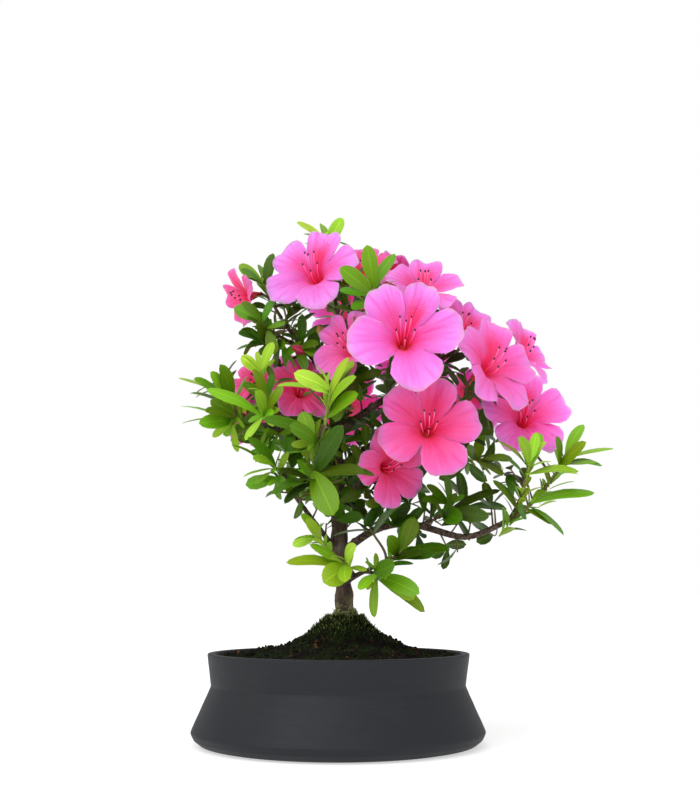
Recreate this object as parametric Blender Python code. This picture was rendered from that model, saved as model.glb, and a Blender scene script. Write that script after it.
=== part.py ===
"""Azalea bonsai in bloom, standing in its round stoneware pot.

Sizes and places are millimetres in the plant's own frame, and are turned into metres where a mesh is made.
The origin is the centre of the pot's foot on the surface, Z is up, and the plant's front looks along -Y.
"""

import math
import random

import bmesh
import bpy
from mathutils import Matrix, Vector
from mathutils.bvhtree import BVHTree

MM = 0.001
UP = Vector((0, 0, 1))
FRONT = Vector((0, -1, 0))
GAP = 0.3

# Colours are linear red, green and blue
FINISHES = {
    "stoneware": ((0.041, 0.043, 0.051), 0.62),
    "soil": ((0.022, 0.024, 0.012), 0.95),
    "bark": ((0.105, 0.072, 0.050), 0.85),
    "leaf": ((0.075, 0.230, 0.035), 0.42),
    "petal": ((0.930, 0.130, 0.480), 0.50),
    "bud": ((0.620, 0.030, 0.090), 0.50),
}

# Pot: radius and height of the turned profile, from the foot up to the rim and down inside to the floor
POT_OUTSIDE = ((73.0, 0.0), (78.8, 1.2), (82.6, 4.2), (84.2, 7.8), (73.0, 32.8), (75.3, 51.2))
POT_INSIDE = ((70.8, 51.2), (68.5, 32.8), (78.2, 8.5))
DRAIN_RADIUS = 5.0
DRAIN_REACH = 32.0
POT_SEGMENTS = 40
DRAIN_SIDES = 12

# Soil: its top as heights at distances from the trunk
MOUND = ((8.9, 72.5), (14.0, 67.5), (23.0, 60.5), (36.0, 54.6), (54.0, 50.6), (70.0, 48.6))
MOUND_SWELL = 0.8
SOIL_SEGMENTS = 24
TRUNK_SINK = 57.0
TRUNK_HOLE_CENTRE = Vector((4.0, 0.0, 0.0))

# Wood: points along each limb, then its thickness at the root and at the tip
TRUNK = ((4, 0, TRUNK_SINK + GAP), (4, 0, 72), (3, 0, 87), (1, 0, 110), (0, 2, 130), (-1, 4, 155),
         (-2, 4, 184), (-1, 3, 215), (0, 4, 243))
TRUNK_RADII = (8.4, 5.9, 4.9, 4.7, 4.5, 4.2, 3.5, 2.7, 1.8)
LIMBS = {
    "right_low": (((1, 0, 108), (20, -8, 122), (38, -14, 126), (58, -20, 120), (72, -22, 115), (87, -22, 121),
                   (104, -20, 130)), 2.5, 1.5),
    "left_low": (((0, 0, 108), (-15, -10, 127), (-27, -16, 143), (-31, -18, 152)), 1.7, 1.2),
    "front_left": (((0, 2, 126), (-5, -18, 134), (-9, -38, 142), (-11, -52, 148)), 2.2, 1.4),
    "front_low": (((2, 0, 90), (8, -14, 94), (14, -24, 97)), 2.0, 1.3),
    "front_right": (((0, 2, 132), (9, -12, 143), (16, -24, 152)), 2.0, 1.3),
    "right_mid": (((-1, 4, 150), (22, -2, 164), (48, -8, 176), (70, -12, 184)), 2.4, 1.4),
    "right_up": (((-2, 4, 180), (24, 4, 198), (50, 3, 216), (68, 2, 228)), 2.4, 1.3),
    "left_mid": (((-1, 4, 156), (-16, -3, 170), (-32, -12, 178), (-46, -18, 182)), 2.1, 1.2),
    "left_up": (((-1, 3, 205), (-13, 2, 221), (-24, -2, 233)), 1.9, 1.2),
    "front_up": (((-1, 3, 196), (4, -12, 206), (8, -28, 216)), 2.0, 1.3),
    "back_low": (((0, 2, 128), (-6, 20, 140), (-12, 40, 150)), 2.0, 1.2),
    "back_right": (((-1, 4, 158), (18, 22, 174), (36, 38, 188)), 2.2, 1.3),
    "back_left": (((-1, 4, 168), (-16, 20, 184), (-30, 34, 198)), 2.1, 1.2),
    "back_top": (((-1, 3, 208), (2, 18, 224), (6, 32, 240)), 1.9, 1.2),
}
TRUNK_SIDES = 8
LIMB_SIDES = 5

# Stems: the first part of a spray's main stem is woody twig, and its side stems fork off further along
STEM_SIDES = 3
STEM_STEPS = 3
TWIG_RADIUS = 1.15
STEM_RADIUS = 0.8
STEM_TIP_RADIUS = 0.65
CALYX_RADIUS = 1.9
CALYX_LENGTH = 2.5
WOODY_SHARE = 0.4
FORK_SHARE = 0.6
OUTWARD_PULL = 1.2
UPWARD_PULL = 0.35

# Blooms: middle of the mouth, way it faces, radius, and its lobes' angles clockwise from the top
BLOOMS = {
    "a": ((-16, -37, 270), (-0.3, -0.87, 0.38), 28, (12, 82, 158, 238, 305)),
    "b": ((36, -82, 221), (0.02, -0.98, 0.12), 31, (23, 76, 162, 261, 332)),
    "c": ((89, -52, 211), (0.6, -0.75, 0.25), 28, (10, 82, 154, 226, 298)),
    "d": ((109, -22, 187), (0.12, -0.94, 0.32), 26, (0, 72, 144, 216, 288)),
    "e": ((115, 0, 230), (0.74, -0.50, 0.42), 22, (30, 102, 174, 246, 318)),
    "f": ((49, -68, 174), (0.0, -0.99, 0.1), 28, (12, 82, 153, 250, 308)),
    "g": ((31, -45, 154), (0.5, -0.8, -0.1), 23, (50, 122, 194, 266, 338)),
    "h": ((-59, -14, 258), (-0.8, -0.45, -0.3), 18, (0, 72, 144, 216, 288)),
    "i": ((-50, -6, 209), (-0.3, -0.9, 0.3), 15, (36, 108, 180, 252, 324)),
    "j": ((-21, -20, 203), (0.25, -0.9, 0.3), 20, (0, 72, 144, 216, 288)),
    "k": ((3, -49, 222), (-0.6, -0.72, 0.2), 22, (30, 102, 174, 246, 318)),
    "l": ((16, -4, 282), (0.0, -0.72, 0.65), 20, (0, 72, 144, 216, 288)),
    "m": ((38, 22, 281), (0.4, 0.3, 0.85), 22, (36, 108, 180, 252, 324)),
    "n": ((50, -30, 263), (0.1, -0.75, 0.65), 23, (10, 82, 154, 226, 298)),
    "o": ((74, -22, 239), (0.45, -0.72, 0.5), 24, (50, 122, 194, 266, 338)),
    "p": ((84, 28, 251), (0.5, 0.1, 0.85), 23, (0, 72, 144, 216, 288)),
    "q": ((-32, 54, 214), (-0.45, 0.8, 0.3), 24, (20, 92, 164, 236, 308)),
    "r": ((2, 60, 268), (-0.1, 0.8, 0.6), 25, (0, 72, 144, 216, 288)),
    "s": ((48, 66, 236), (0.25, 0.92, 0.3), 26, (36, 108, 180, 252, 324)),
    "t": ((84, 52, 204), (0.7, 0.7, 0.15), 24, (10, 82, 154, 226, 298)),
    "u": ((6, 78, 206), (0.0, 0.98, 0.1), 25, (50, 122, 194, 266, 338)),
    "v": ((-58, 44, 196), (-0.75, 0.65, 0.1), 21, (0, 72, 144, 216, 288)),
}

# Flower form, all as shares of its radius. Lobe outlines are radii at a lobe's tip, shoulder and notch
FLOWER_DEPTH = 0.73
TUBE_FOOT = 0.065
THROAT_RADIUS = 0.17
THROAT_HEIGHT = 0.36
MIDDLE_OUTLINE = (0.62, 0.64, 0.40)
MIDDLE_HEIGHT = 0.66
EDGE_OUTLINE = (1.02, 0.93, 0.50)
EDGE_HEIGHTS = (0.70, 0.80, 0.64, 0.80)
SHOULDER_TURN = 0.64
STAMENS = 5
STAMEN_ROOT = (0.27, 0.07)
STAMEN_END = (0.84, 0.17)
STAMEN_SPREAD = 0.12
STAMEN_LEAN = 0.12
STAMEN_RADII = (0.45, 0.4)

# Leafy shoots: place of the tip, then each leaf's reach from there and the width that shows from the front
SHOOTS = {
    "crown": ((-9, -10, 296), ((-15, 0, 9, 5), (-16, -15, 5, 5), (-2, 12, 13, 5), (11, 0, 13, 8))),
    "front_top": ((20, -50, 256), ((-4, -14, 20, 9), (12, 0, 19, 7), (-19, -11, 8, 10), (-19, -13, -6, 6),
                                   (-12, -15, -17, 7), (6, 0, 12, 4))),
    "left_top": ((-45, -20, 266), ((-14, 0, 11, 7), (-11, -20, 2, 5), (-3, 15, 15, 5), (6, 0, 18, 7))),
    "left_mid": ((-46, -25, 242), ((-15, 0, 8, 8), (8, 0, 13, 5), (-9, -21, 5, 6))),
    "left_in": ((-45, -18, 229), ((-12, -20, 2, 5), (-2, -21, 8, 6), (-15, 0, -3, 3))),
    "left_bright": ((-44, -40, 210), ((7, 0, 16, 6), (-11, 0, 8, 7), (6, 15, 9, 5))),
    "far_left": ((-66, -25, 196), ((-27, 0, 12, 3), (-16, -14, 9, 5), (-6, -19, 12, 6), (-1, -16, 17, 7),
                                   (13, 0, 13, 3), (-20, 0, 3, 3))),
    "far_left_low": ((-61, -28, 180), ((-30, 0, 11, 2), (-29, 0, 1, 2), (-17, -15, -1, 9), (-13, -18, 5, 6),
                                       (-14, 0, 14, 8))),
    "long_left": ((-42, -45, 182), ((-30, -16, 13, 7), (-3, -20, 12, 6), (11, 0, 18, 6), (-5, -13, 25, 5))),
    "riser": ((-4, -72, 194), ((-19, -12, 6, 9), (-29, 0, 1, 4), (-14, -17, -4, 5), (10, 0, 17, 5),
                               (14, 6, 14, 3), (-1, 16, 12, 3), (14, 11, 18, 8), (14, -18, 3, 5),
                               (15, -17, -6, 8))),
    "mid_left": ((-14, -68, 162), ((-5, 0, 20, 9), (5, 0, 16, 3), (-11, -18, 10, 8), (-25, -17, 13, 7))),
    "heart": ((-13, -72, 150), ((11, -14, -25, 14), (33, 0, -3, 5), (27, -13, -3, 7), (16, -14, 22, 10),
                                (-22, 0, -13, 5), (-15, 0, -18, 5), (-19, 0, 0, 4), (-7, -16, -15, 7),
                                (28, 0, 30, 3))),
    "low_left": ((-35, -40, 155), ((-11, -20, 2, 5), (-18, 0, -6, 2), (-8, -18, -11, 4), (-25, 0, 12, 2),
                                   (-15, -10, 15, 5))),
    "bright_low": ((4, -34, 103), ((6, -21, 8, 6), (0, -20, -12, 8), (-12, -15, -12, 14), (-33, 0, -1, 6),
                                   (-20, 0, 9, 5))),
    "bright_low_up": ((-12, -24, 118), ((-14, 0, -6, 6), (-9, 0, 12, 5), (-6, -14, 8, 6))),
    "low_right": ((24, -42, 97), ((18, 0, -15, 9), (-12, -17, -10, 5), (-4, 0, -25, 5), (20, -12, -12, 10),
                                  (23, 0, -22, 7), (-1, -23, 3, 5))),
    "low_mid": ((36, -34, 109), ((7, 0, 18, 9), (7, 12, 20, 6), (-9, -20, 7, 8), (26, 0, 1, 7),
                                 (16, -16, -4, 6), (9, -21, -3, 4))),
    "right_bright": ((107, -42, 158), ((4, 0, 16, 6), (-9, -18, 11, 7), (-18, 0, 11, 3), (7, 8, 17, 8),
                                       (27, 0, -6, 5), (-16, 0, 4, 3))),
    "right_far": ((130, -24, 162), ((11, 0, 19, 6), (28, 0, 5, 3), (21, 0, -5, 4), (14, -17, -5, 3),
                                    (-8, -16, 10, 5), (5, -18, 7, 5))),
    "right_low": ((108, -34, 135), ((36, 0, 6, 6), (18, 0, -18, 4), (13, 0, -11, 5), (-10, -20, -6, 10),
                                    (-21, 0, 13, 5))),
    "right_in": ((65, -28, 135), ((-18, 0, 3, 5), (-15, 0, 11, 5), (-6, -17, 14, 5), (19, -10, -8, 9),
                                  (3, -21, -10, 10), (-11, -20, -4, 5), (27, 0, 8, 5))),
    "right_up": ((82, -18, 160), ((0, 0, 17, 5), (16, -17, -1, 5), (-10, -20, 6, 7), (10, -18, -10, 6),
                                  (-10, -19, -8, 6))),
}

# Leafy shoots inside the crown, at its sides and its back: place of the tip, and how many leaves
WHORLS = {
    "inner_top": ((-24, 4, 256), 4),
    "inner_left_low": ((-38, 12, 178), 4),
    "inner_left": ((-30, 14, 206), 4),
    "inner_right": ((44, -16, 144), 5),
    "inner_right_high": ((94, 4, 174), 4),
    "under_front": ((40, -36, 194), 4),
    "trunk_front": ((18, -26, 122), 5),
    "trunk_left": ((-20, -14, 138), 3),
    "upper_inner": ((56, 6, 250), 3),
    "low_branch": ((76, -8, 136), 4),
    "back_low_left": ((-42, 62, 158), 6),
    "back_low_mid": ((-6, 74, 160), 5),
    "back_low_right": ((44, 66, 160), 5),
    "back_far_right": ((92, 26, 170), 6),
    "back_far_left": ((-74, 20, 212), 6),
    "back_high_left": ((-36, 30, 268), 4),
    "back_high_right": ((66, 34, 262), 4),
    "back_crown": ((16, 26, 290), 4),
}

# Sprays: the limb each grows from, how far along it, and its ends in order: shoots by name, blooms by letter
SPRAYS = {
    "crown": ("trunk", 1.0, ("crown", "a")),
    "crown_back": ("trunk", 0.93, ("l", "m")),
    "front_top": ("front_up", 1.0, ("front_top", "b")),
    "front_mid": ("front_up", 0.7, ("k",)),
    "left_top": ("left_up", 1.0, ("left_top", "h", "inner_top")),
    "left_mid": ("left_up", 0.75, ("left_mid", "left_in")),
    "inner_left": ("left_up", 0.25, ("red_bud", "green_bud", "j", "inner_left")),
    "left_front": ("left_mid", 0.65, ("left_bright", "long_left")),
    "left_back": ("left_mid", 0.3, ("i", "inner_left_low")),
    "far_left": ("left_mid", 1.0, ("far_left", "far_left_low")),
    "riser": ("front_left", 1.0, ("riser", "mid_left")),
    "heart": ("front_left", 0.7, ("heart",)),
    "low_left": ("left_low", 1.0, ("low_left", "trunk_left")),
    "bright_low": ("front_low", 0.6, ("bright_low", "bright_low_up")),
    "low_right": ("front_low", 1.0, ("low_right",)),
    "low_mid": ("front_low", 0.85, ("low_mid", "trunk_front")),
    "right_bright": ("right_low", 0.93, ("right_bright",)),
    "right_far": ("right_low", 1.0, ("right_far", "d")),
    "right_low": ("right_low", 0.8, ("right_low",)),
    "right_in": ("right_low", 0.45, ("right_in", "low_branch")),
    "right_up": ("right_mid", 0.85, ("right_up",)),
    "right_mid": ("right_mid", 1.0, ("c", "inner_right_high")),
    "right_front": ("right_mid", 0.55, ("f", "under_front")),
    "front_right": ("front_right", 0.8, ("inner_right", "g")),
    "upper_right": ("right_up", 0.7, ("n", "o", "upper_inner")),
    "far_right": ("right_up", 1.0, ("p", "e")),
    "back_low": ("back_low", 1.0, ("back_low_mid", "back_low_left", "u")),
    "back_low_right": ("back_right", 0.6, ("back_low_right", "back_far_right")),
    "back_right": ("back_right", 1.0, ("s", "t")),
    "back_left": ("back_left", 1.0, ("q", "back_high_left")),
    "back_side": ("back_left", 0.7, ("v", "back_far_left")),
    "back_top": ("back_top", 1.0, ("r", "back_crown")),
}

# Buds: place of the tip, the way it points, length and radius
BUDS = {
    "red_bud": ((-28, -20, 228), (-0.8, -0.5, 0.3), 11, 3.0),
    "green_bud": ((-12, -25, 239), (-0.3, -0.8, 0.5), 9, 2.6),
}

# A leaf that would cut through another spray is bent: turns about Z and up, in degrees, and a new length
BENDS = ((0, 0, 1.0), (14, 0, 1.0), (-14, 0, 1.0), (0, 14, 1.0), (0, -14, 1.0), (26, 8, 0.92), (-26, 8, 0.92),
         (26, -12, 0.9), (-26, -12, 0.9), (0, 30, 0.85), (0, -30, 0.85), (44, 0, 0.8), (-44, 0, 0.8),
         (50, 25, 0.8), (-50, 25, 0.8), (50, -25, 0.8), (-50, -25, 0.8), (80, 0, 0.7), (-80, 0, 0.7))

# Leaves: half widths as shares of the width at shares of the length, then the rules for where they stand
LEAF_THICKNESS = 0.9
LEAF_STATIONS = ((0.38, 0.38), (0.70, 0.49))
LEAF_STALK = 0.6
LEAF_ARCH = 0.16
LEAF_SPACING = 2.0
HERO_WIDTH = (0.34, 5.0, 11.0)
BLOOM_LEAVES = 2
BARE_BLOOMS = ("f",)
BLOOM_LEAF_START = 11.0
BLOOM_LEAF_SPACING = 4.0
WHORL_OPENING = (62, 86)
WHORL_LENGTH = (19, 27)
WHORL_WIDTH = (0.32, 0.40)
WHORL_JITTER = 0.6
WHORL_LIFT = 0.6
GOLDEN_ANGLE = math.radians(137.5)

# Two faces are one flat face below this angle, and merging them may change a volume by this share
FLAT_ANGLE = math.radians(0.3)
VOLUME_SLACK = 0.001
SHARP_ANGLE = math.radians(40)
BUD_STATIONS = ((0.0, 0.35), (0.3, 0.95), (0.62, 0.85))
BUD_SIDES = 7


def clear_scene():
    for obj in list(bpy.data.objects):
        bpy.data.objects.remove(obj)


def make_materials():
    made = {}
    for name, (color, roughness) in FINISHES.items():
        material = bpy.data.materials.new(name)
        material.use_nodes = True
        shader = material.node_tree.nodes["Principled BSDF"]
        shader.inputs["Base Color"].default_value = (*color, 1)
        shader.inputs["Roughness"].default_value = roughness
        shader.inputs["Metallic"].default_value = 0
        material.diffuse_color = (*color, 1)
        made[name] = material
    return made


def make_object(name, points, faces, material):
    """One closed mesh from points in millimetres, its faces turned outwards."""
    mesh = bpy.data.meshes.new(name)
    mesh.from_pydata([Vector(p) * MM for p in points], [], faces)
    work = bmesh.new()
    work.from_mesh(mesh)
    bmesh.ops.triangulate(work, faces=work.faces)
    bmesh.ops.recalc_face_normals(work, faces=work.faces)
    work.to_mesh(mesh)
    work.free()
    mesh.materials.append(material)
    obj = bpy.data.objects.new(name, mesh)
    bpy.context.scene.collection.objects.link(obj)
    mesh.shade_smooth()
    mesh.set_sharp_from_angle(angle=SHARP_ANGLE)
    return obj


# Curves


def bezier(start, start_pull, end_pull, end, share):
    """The point at a share from 0 to 1 of a cubic curve."""
    rest = 1 - share
    return (start * rest**3 + start_pull * (3 * rest**2 * share) + end_pull * (3 * rest * share**2)
            + end * share**3)


def stem_curve(start, start_way, end, end_way):
    """A function from a share of the stem to a point, which leaves start and reaches end the given ways."""
    pull = (end - start).length / 3
    handles = (start, start + start_way.normalized() * pull, end - end_way.normalized() * pull, end)
    return lambda share: bezier(*handles, share)


def route_curve(points):
    """A function from a share of the route's length to a point on it."""
    knots = [Vector(p) for p in points]
    lengths = [0.0]
    for a, b in zip(knots, knots[1:]):
        lengths.append(lengths[-1] + (b - a).length)

    def at(share):
        goal = min(max(share, 0.0), 1.0) * lengths[-1]
        for a, b, low, high in zip(knots, knots[1:], lengths, lengths[1:]):
            if goal <= high:
                return a.lerp(b, (goal - low) / (high - low))
        return knots[-1].copy()

    return at


def way_of(curve, share):
    step = 0.02
    return (curve(min(share + step, 1)) - curve(max(share - step, 0))).normalized()


# Solids, each as points and faces


def skin(rings):
    """Joins rings of points, one after the other. A ring of one point closes an end, and so does a cap."""
    points = [point for ring in rings for point in ring]
    starts = [sum(len(ring) for ring in rings[:i]) for i in range(len(rings))]
    faces = []
    for ring, after, a, b in zip(rings, rings[1:], starts, starts[1:]):
        faces += bridge(a, len(ring), b, len(after))
    for ring, start in ((rings[0], starts[0]), (rings[-1], starts[-1])):
        if len(ring) > 1:
            faces.append(tuple(range(start, start + len(ring))))
    return points, faces


def bridge(a, count_a, b, count_b):
    """Faces between two rings of equally many points, one ring of one point, or one of twice as many."""
    if count_a == 1:
        return [(a, b + i, b + (i + 1) % count_b) for i in range(count_b)]
    if count_b == 1 or count_a > count_b:
        return bridge(b, count_b, a, count_a)
    if count_b == count_a:
        return [(a + i, a + (i + 1) % count_a, b + (i + 1) % count_a, b + i) for i in range(count_a)]
    faces = []
    for i in range(count_a):
        here, after = a + i, a + (i + 1) % count_a
        faces.append((here, b + 2 * i, b + 2 * i + 1))
        faces.append((here, b + 2 * i + 1, after))
        faces.append((after, b + 2 * i + 1, b + (2 * i + 2) % count_b))
    return faces


def ring_round(centre, way, side, radius, sides):
    """Points of a regular polygon round a centre, square to the way."""
    across = way.cross(side).normalized()
    side = across.cross(way).normalized()
    turns = [2 * math.pi * i / sides for i in range(sides)]
    return [centre + (side * math.cos(t) + across * math.sin(t)) * radius for t in turns]


def tube(points, radii, sides):
    """A round stem along points, with flat ends."""
    points = [Vector(p) for p in points]
    side = UP.orthogonal()
    rings = []
    for i, (point, radius) in enumerate(zip(points, radii)):
        way = (points[min(i + 1, len(points) - 1)] - points[max(i - 1, 0)]).normalized()
        side = (side - way * side.dot(way)).normalized()
        rings.append(ring_round(point, way, side, radius, sides))
    return skin(rings)


def leaf_rings(base, tip, normal, width, grow=0.0):
    """An arched blade, three-sided with a keel below, that widens from the stalk and closes at the tip."""
    reach = tip - base
    way = reach.normalized()
    normal = (normal - way * normal.dot(way)).normalized()
    side = way.cross(normal)
    arch = base + reach * 0.5 + normal * reach.length * LEAF_ARCH
    rings = []
    for share, spread in ((0.0, LEAF_STALK / width), *LEAF_STATIONS):
        middle = base * (1 - share)**2 + arch * (2 * share * (1 - share)) + tip * share**2
        out = side * (width * spread + grow)
        top = middle + normal * (LEAF_THICKNESS / 3 + grow)
        rings.append([top + out, top - out, middle - normal * (LEAF_THICKNESS * 2 / 3 + grow)])
    rings.append([tip + way * grow])
    return rings


def lobe_points(lobes, radius, outline):
    """Twenty angles and radii round a flower's mouth: each lobe's tip, shoulder, notch and next shoulder."""
    tip, shoulder, notch = outline
    found = []
    for i, here in enumerate(lobes):
        half = ((lobes[(i + 1) % len(lobes)] - here) % 360) / 2
        found += [(here, tip), (here + half * SHOULDER_TURN, shoulder), (here + half, notch),
                  (here + half * (2 - SHOULDER_TURN), shoulder)]
    return [(math.radians(angle), radius * share) for angle, share in found]


def bloom_frame(facing):
    """The flower's axis, and the directions up and right on its mouth as one who looks into it sees them."""
    axis = Vector(facing).normalized()
    up = (UP - axis * UP.dot(axis)).normalized()
    return axis, up, up.cross(axis)


def bloom_base(centre, facing, radius):
    return Vector(centre) - Vector(facing).normalized() * (FLOWER_DEPTH * radius)


def corolla_solid(centre, facing, radius, lobes):
    """A funnel of five joined lobes: its outside from foot to edge, then its inside down to the throat."""
    axis, up, right = bloom_frame(facing)
    base = bloom_base(centre, facing, radius)

    def ring(spots, heights):
        return [base + axis * (height * radius) + (up * math.cos(turn) + right * math.sin(turn)) * out
                for (turn, out), height in zip(spots, heights)]

    def round_ring(share, height):
        turns = [turn for turn, _ in lobe_points(lobes, radius, EDGE_OUTLINE)[::2]]
        return ring([(turn, share * radius) for turn in turns], [height] * len(turns))

    wall = LEAF_THICKNESS / radius
    middle = lobe_points(lobes, radius, MIDDLE_OUTLINE)
    edge = lobe_points(lobes, radius, EDGE_OUTLINE)
    return skin([round_ring(TUBE_FOOT, 0), round_ring(THROAT_RADIUS, THROAT_HEIGHT),
                 ring(middle, [MIDDLE_HEIGHT] * len(middle)), ring(edge, EDGE_HEIGHTS * len(lobes)),
                 ring(middle, [MIDDLE_HEIGHT + wall * 1.5] * len(middle)),
                 round_ring(THROAT_RADIUS - wall, THROAT_HEIGHT)])


def stamen_solids(centre, facing, radius):
    """Slender three-sided filaments that fan out of the throat and lean to the top."""
    axis, up, right = bloom_frame(facing)
    base = bloom_base(centre, facing, radius)
    solids = []
    for i in range(STAMENS):
        turn = 2 * math.pi * (i + 0.5) / STAMENS
        out = up * math.cos(turn) + right * math.sin(turn)
        start = axis * STAMEN_ROOT[0] + out * STAMEN_ROOT[1]
        end = axis * (STAMEN_END[0] + STAMEN_SPREAD * math.cos(turn)) + out * STAMEN_END[1] + up * STAMEN_LEAN
        solids.append(tube((base + start * radius, base + end * radius), STAMEN_RADII, STEM_SIDES))
    return solids


# Joining and clearance


class Clearance:
    """The solids placed so far, by node, and whether a new one cuts into those of another node."""

    def __init__(self):
        self.placed = []

    @staticmethod
    def measured(solid):
        points, faces = solid
        low = [min(p[i] for p in points) for i in range(3)]
        high = [max(p[i] for p in points) for i in range(3)]
        return low, high, BVHTree.FromPolygons(points, faces)

    def add(self, node, solid):
        self.placed.append((node, *self.measured(solid)))

    def free(self, node, solid):
        low, high, tree = self.measured(solid)
        for other, other_low, other_high, other_tree in self.placed:
            if other == node:
                continue
            if any(low[i] > other_high[i] or high[i] < other_low[i] for i in range(3)):
                continue
            if tree.overlap(other_tree):
                return False
        return True


def fuse(name, solids, material):
    """Joins crossing solids into one body by a Boolean union, and keeps the largest piece of the result."""
    pieces = [make_object(f"{name}_piece", *solid, material) for solid in solids]
    whole = pieces.pop(0)
    whole.name = whole.data.name = name
    if pieces:
        group = bpy.data.collections.new(f"{name}_pieces")
        bpy.context.scene.collection.children.link(group)
        for piece in pieces:
            bpy.context.scene.collection.objects.unlink(piece)
            group.objects.link(piece)
        union = whole.modifiers.new("union", "BOOLEAN")
        union.operation = "UNION"
        union.operand_type = "COLLECTION"
        union.collection = group
        union.solver = "MANIFOLD"
        bpy.context.view_layer.update()
        graph = bpy.context.evaluated_depsgraph_get()
        whole.data = bpy.data.meshes.new_from_object(whole.evaluated_get(graph))
        whole.modifiers.clear()
        for piece in pieces:
            bpy.data.objects.remove(piece)
        bpy.data.collections.remove(group)
    work = bmesh.new()
    work.from_mesh(whole.data)
    keep_largest_body(work)
    merge_splinters(work)
    work.to_mesh(whole.data)
    work.free()
    return whole


def keep_largest_body(work):
    bodies = []
    left = set(work.verts)
    while left:
        body = {left.pop()}
        front = list(body)
        while front:
            near = {edge.other_vert(vert) for vert in front for edge in vert.link_edges} & left
            left -= near
            body |= near
            front = list(near)
        bodies.append(body)
    bodies.sort(key=len)
    for body in bodies[:-1]:
        bmesh.ops.delete(work, geom=list(body), context="VERTS")


def merge_splinters(work):
    """Joins the flat splinters that a union leaves into larger triangles, where the body stays closed."""
    bmesh.ops.triangulate(work, faces=work.faces)
    trial = work.copy()
    bmesh.ops.dissolve_limit(trial, angle_limit=FLAT_ANGLE, verts=trial.verts, edges=trial.edges)
    bmesh.ops.triangulate(trial, faces=trial.faces, ngon_method="EAR_CLIP")
    closed = all(len(edge.link_faces) == 2 for edge in trial.edges)
    same = abs(trial.calc_volume() / work.calc_volume() - 1) < VOLUME_SLACK
    if closed and same:
        mesh = bpy.data.meshes.new("merged")
        trial.to_mesh(mesh)
        work.clear()
        work.from_mesh(mesh)
        bpy.data.meshes.remove(mesh)
    trial.free()


# Pieces of the plant and its pot


def make_pot(material):
    """The turned pot, flat under its foot, with a drain hole on either side of its middle."""
    rings = [ring_round(UP * height, UP, FRONT, radius, POT_SEGMENTS)
             for radius, height in (*POT_OUTSIDE, *POT_INSIDE)]
    floor = UP * POT_INSIDE[-1][1]
    pot = make_object("pot", *skin([[Vector()], *rings, [floor]]), material)
    for number, side in enumerate((-1, 1), start=1):
        middle = Vector((side * DRAIN_REACH, 0, 0))
        bar = tube((middle - floor, middle + floor * 2), (DRAIN_RADIUS, DRAIN_RADIUS), DRAIN_SIDES)
        drill = make_object(f"drain_drill_{number}", *bar, material)
        drill.hide_render = True
        drill.display_type = "WIRE"
        cut = pot.modifiers.new(f"drain_{number}", "BOOLEAN")
        cut.object = drill


def make_soil(material):
    """Rings from the bottom of the trunk's hole over the mound to the pot's wall, then down it to the floor.

    The mound swells three and five times a turn, by amounts that drift with the distance from the trunk.
    """

    def ring(radius, height, blend, swell=0.0):
        found = ring_round(TRUNK_HOLE_CENTRE * (1 - blend) + UP * height, UP, FRONT, radius, SOIL_SEGMENTS)
        for i, point in enumerate(found):
            turn = 2 * math.pi * i / SOIL_SEGMENTS
            point.z += swell * (math.sin(3 * turn + radius) + math.sin(5 * turn + 0.3 * radius)) / 2
        return found

    first, last = MOUND[0][0], MOUND[-1][0]
    rings = [[TRUNK_HOLE_CENTRE + UP * TRUNK_SINK], ring(first, TRUNK_SINK, 0)]
    for radius, height in MOUND:
        blend = (radius - first) / (last - first)
        rings.append(ring(radius, height, blend, MOUND_SWELL if 0 < blend < 1 else 0))
    facet = math.cos(math.pi / POT_SEGMENTS)
    (_, _), (neck_radius, neck_height), (floor_radius, floor_height) = POT_INSIDE
    rings.append(ring(neck_radius * facet - GAP, neck_height, 1))
    rings.append(ring(floor_radius * facet - 2 * GAP, floor_height + GAP, 1))
    rings.append([UP * (floor_height + GAP)])
    make_object("soil", *skin(rings), material)


def limb_curves():
    curves = {"trunk": route_curve(TRUNK)}
    for name, (points, _, _) in LIMBS.items():
        curves[name] = route_curve(points)
    return curves


def wood_solids():
    solids = [tube(TRUNK, TRUNK_RADII, TRUNK_SIDES)]
    for points, root, tip in LIMBS.values():
        last = len(points) - 1
        radii = [root + (tip - root) * i / last for i in range(last + 1)]
        solids.append(tube(points, radii, LIMB_SIDES))
    return solids


def end_of(name):
    """Where an end of a spray is, and the way its stem arrives there."""
    if name in BLOOMS:
        centre, facing, radius, _ = BLOOMS[name]
        axis = Vector(facing).normalized()
        return bloom_base(centre, facing, radius) - axis * GAP, axis
    if name in BUDS:
        tip, facing, length, _ = BUDS[name]
        axis = Vector(facing).normalized()
        return Vector(tip) - axis * (length + GAP), axis
    return Vector((SHOOTS.get(name) or WHORLS.get(name))[0]), None


def spray_curves(spray, limbs):
    """The curve of each stem of a spray: the first leaves its limb, and the others fork from the first."""
    limb, share, ends = SPRAYS[spray]
    curves = []
    start, way = limbs[limb](share), way_of(limbs[limb], share)
    for end in ends:
        place, arrive = end_of(end)
        chord = (place - start).normalized()
        if arrive is None:
            arrive = chord + UP * UPWARD_PULL
        curves.append(stem_curve(start, way + chord * OUTWARD_PULL, place, arrive))
        if len(curves) == 1:
            start, way = curves[0](FORK_SHARE), way_of(curves[0], FORK_SHARE)
    return curves


def stem_solid(curve, root, end, share=0.0):
    """The green stem of one end, from a share of its curve on, with a calyx under a bloom or a bud."""
    steps = [i / STEM_STEPS for i in range(STEM_STEPS + 1)]
    points = [curve(share + (1 - share) * step) for step in steps]
    radii = [root + (STEM_TIP_RADIUS - root) * step for step in steps]
    if end in BLOOMS or end in BUDS:
        points.insert(STEM_STEPS, curve(1) - way_of(curve, 1) * CALYX_LENGTH)
        radii.insert(STEM_STEPS, STEM_TIP_RADIUS)
        radii[-1] = CALYX_RADIUS
    return tube(points, radii, STEM_SIDES)


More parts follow.
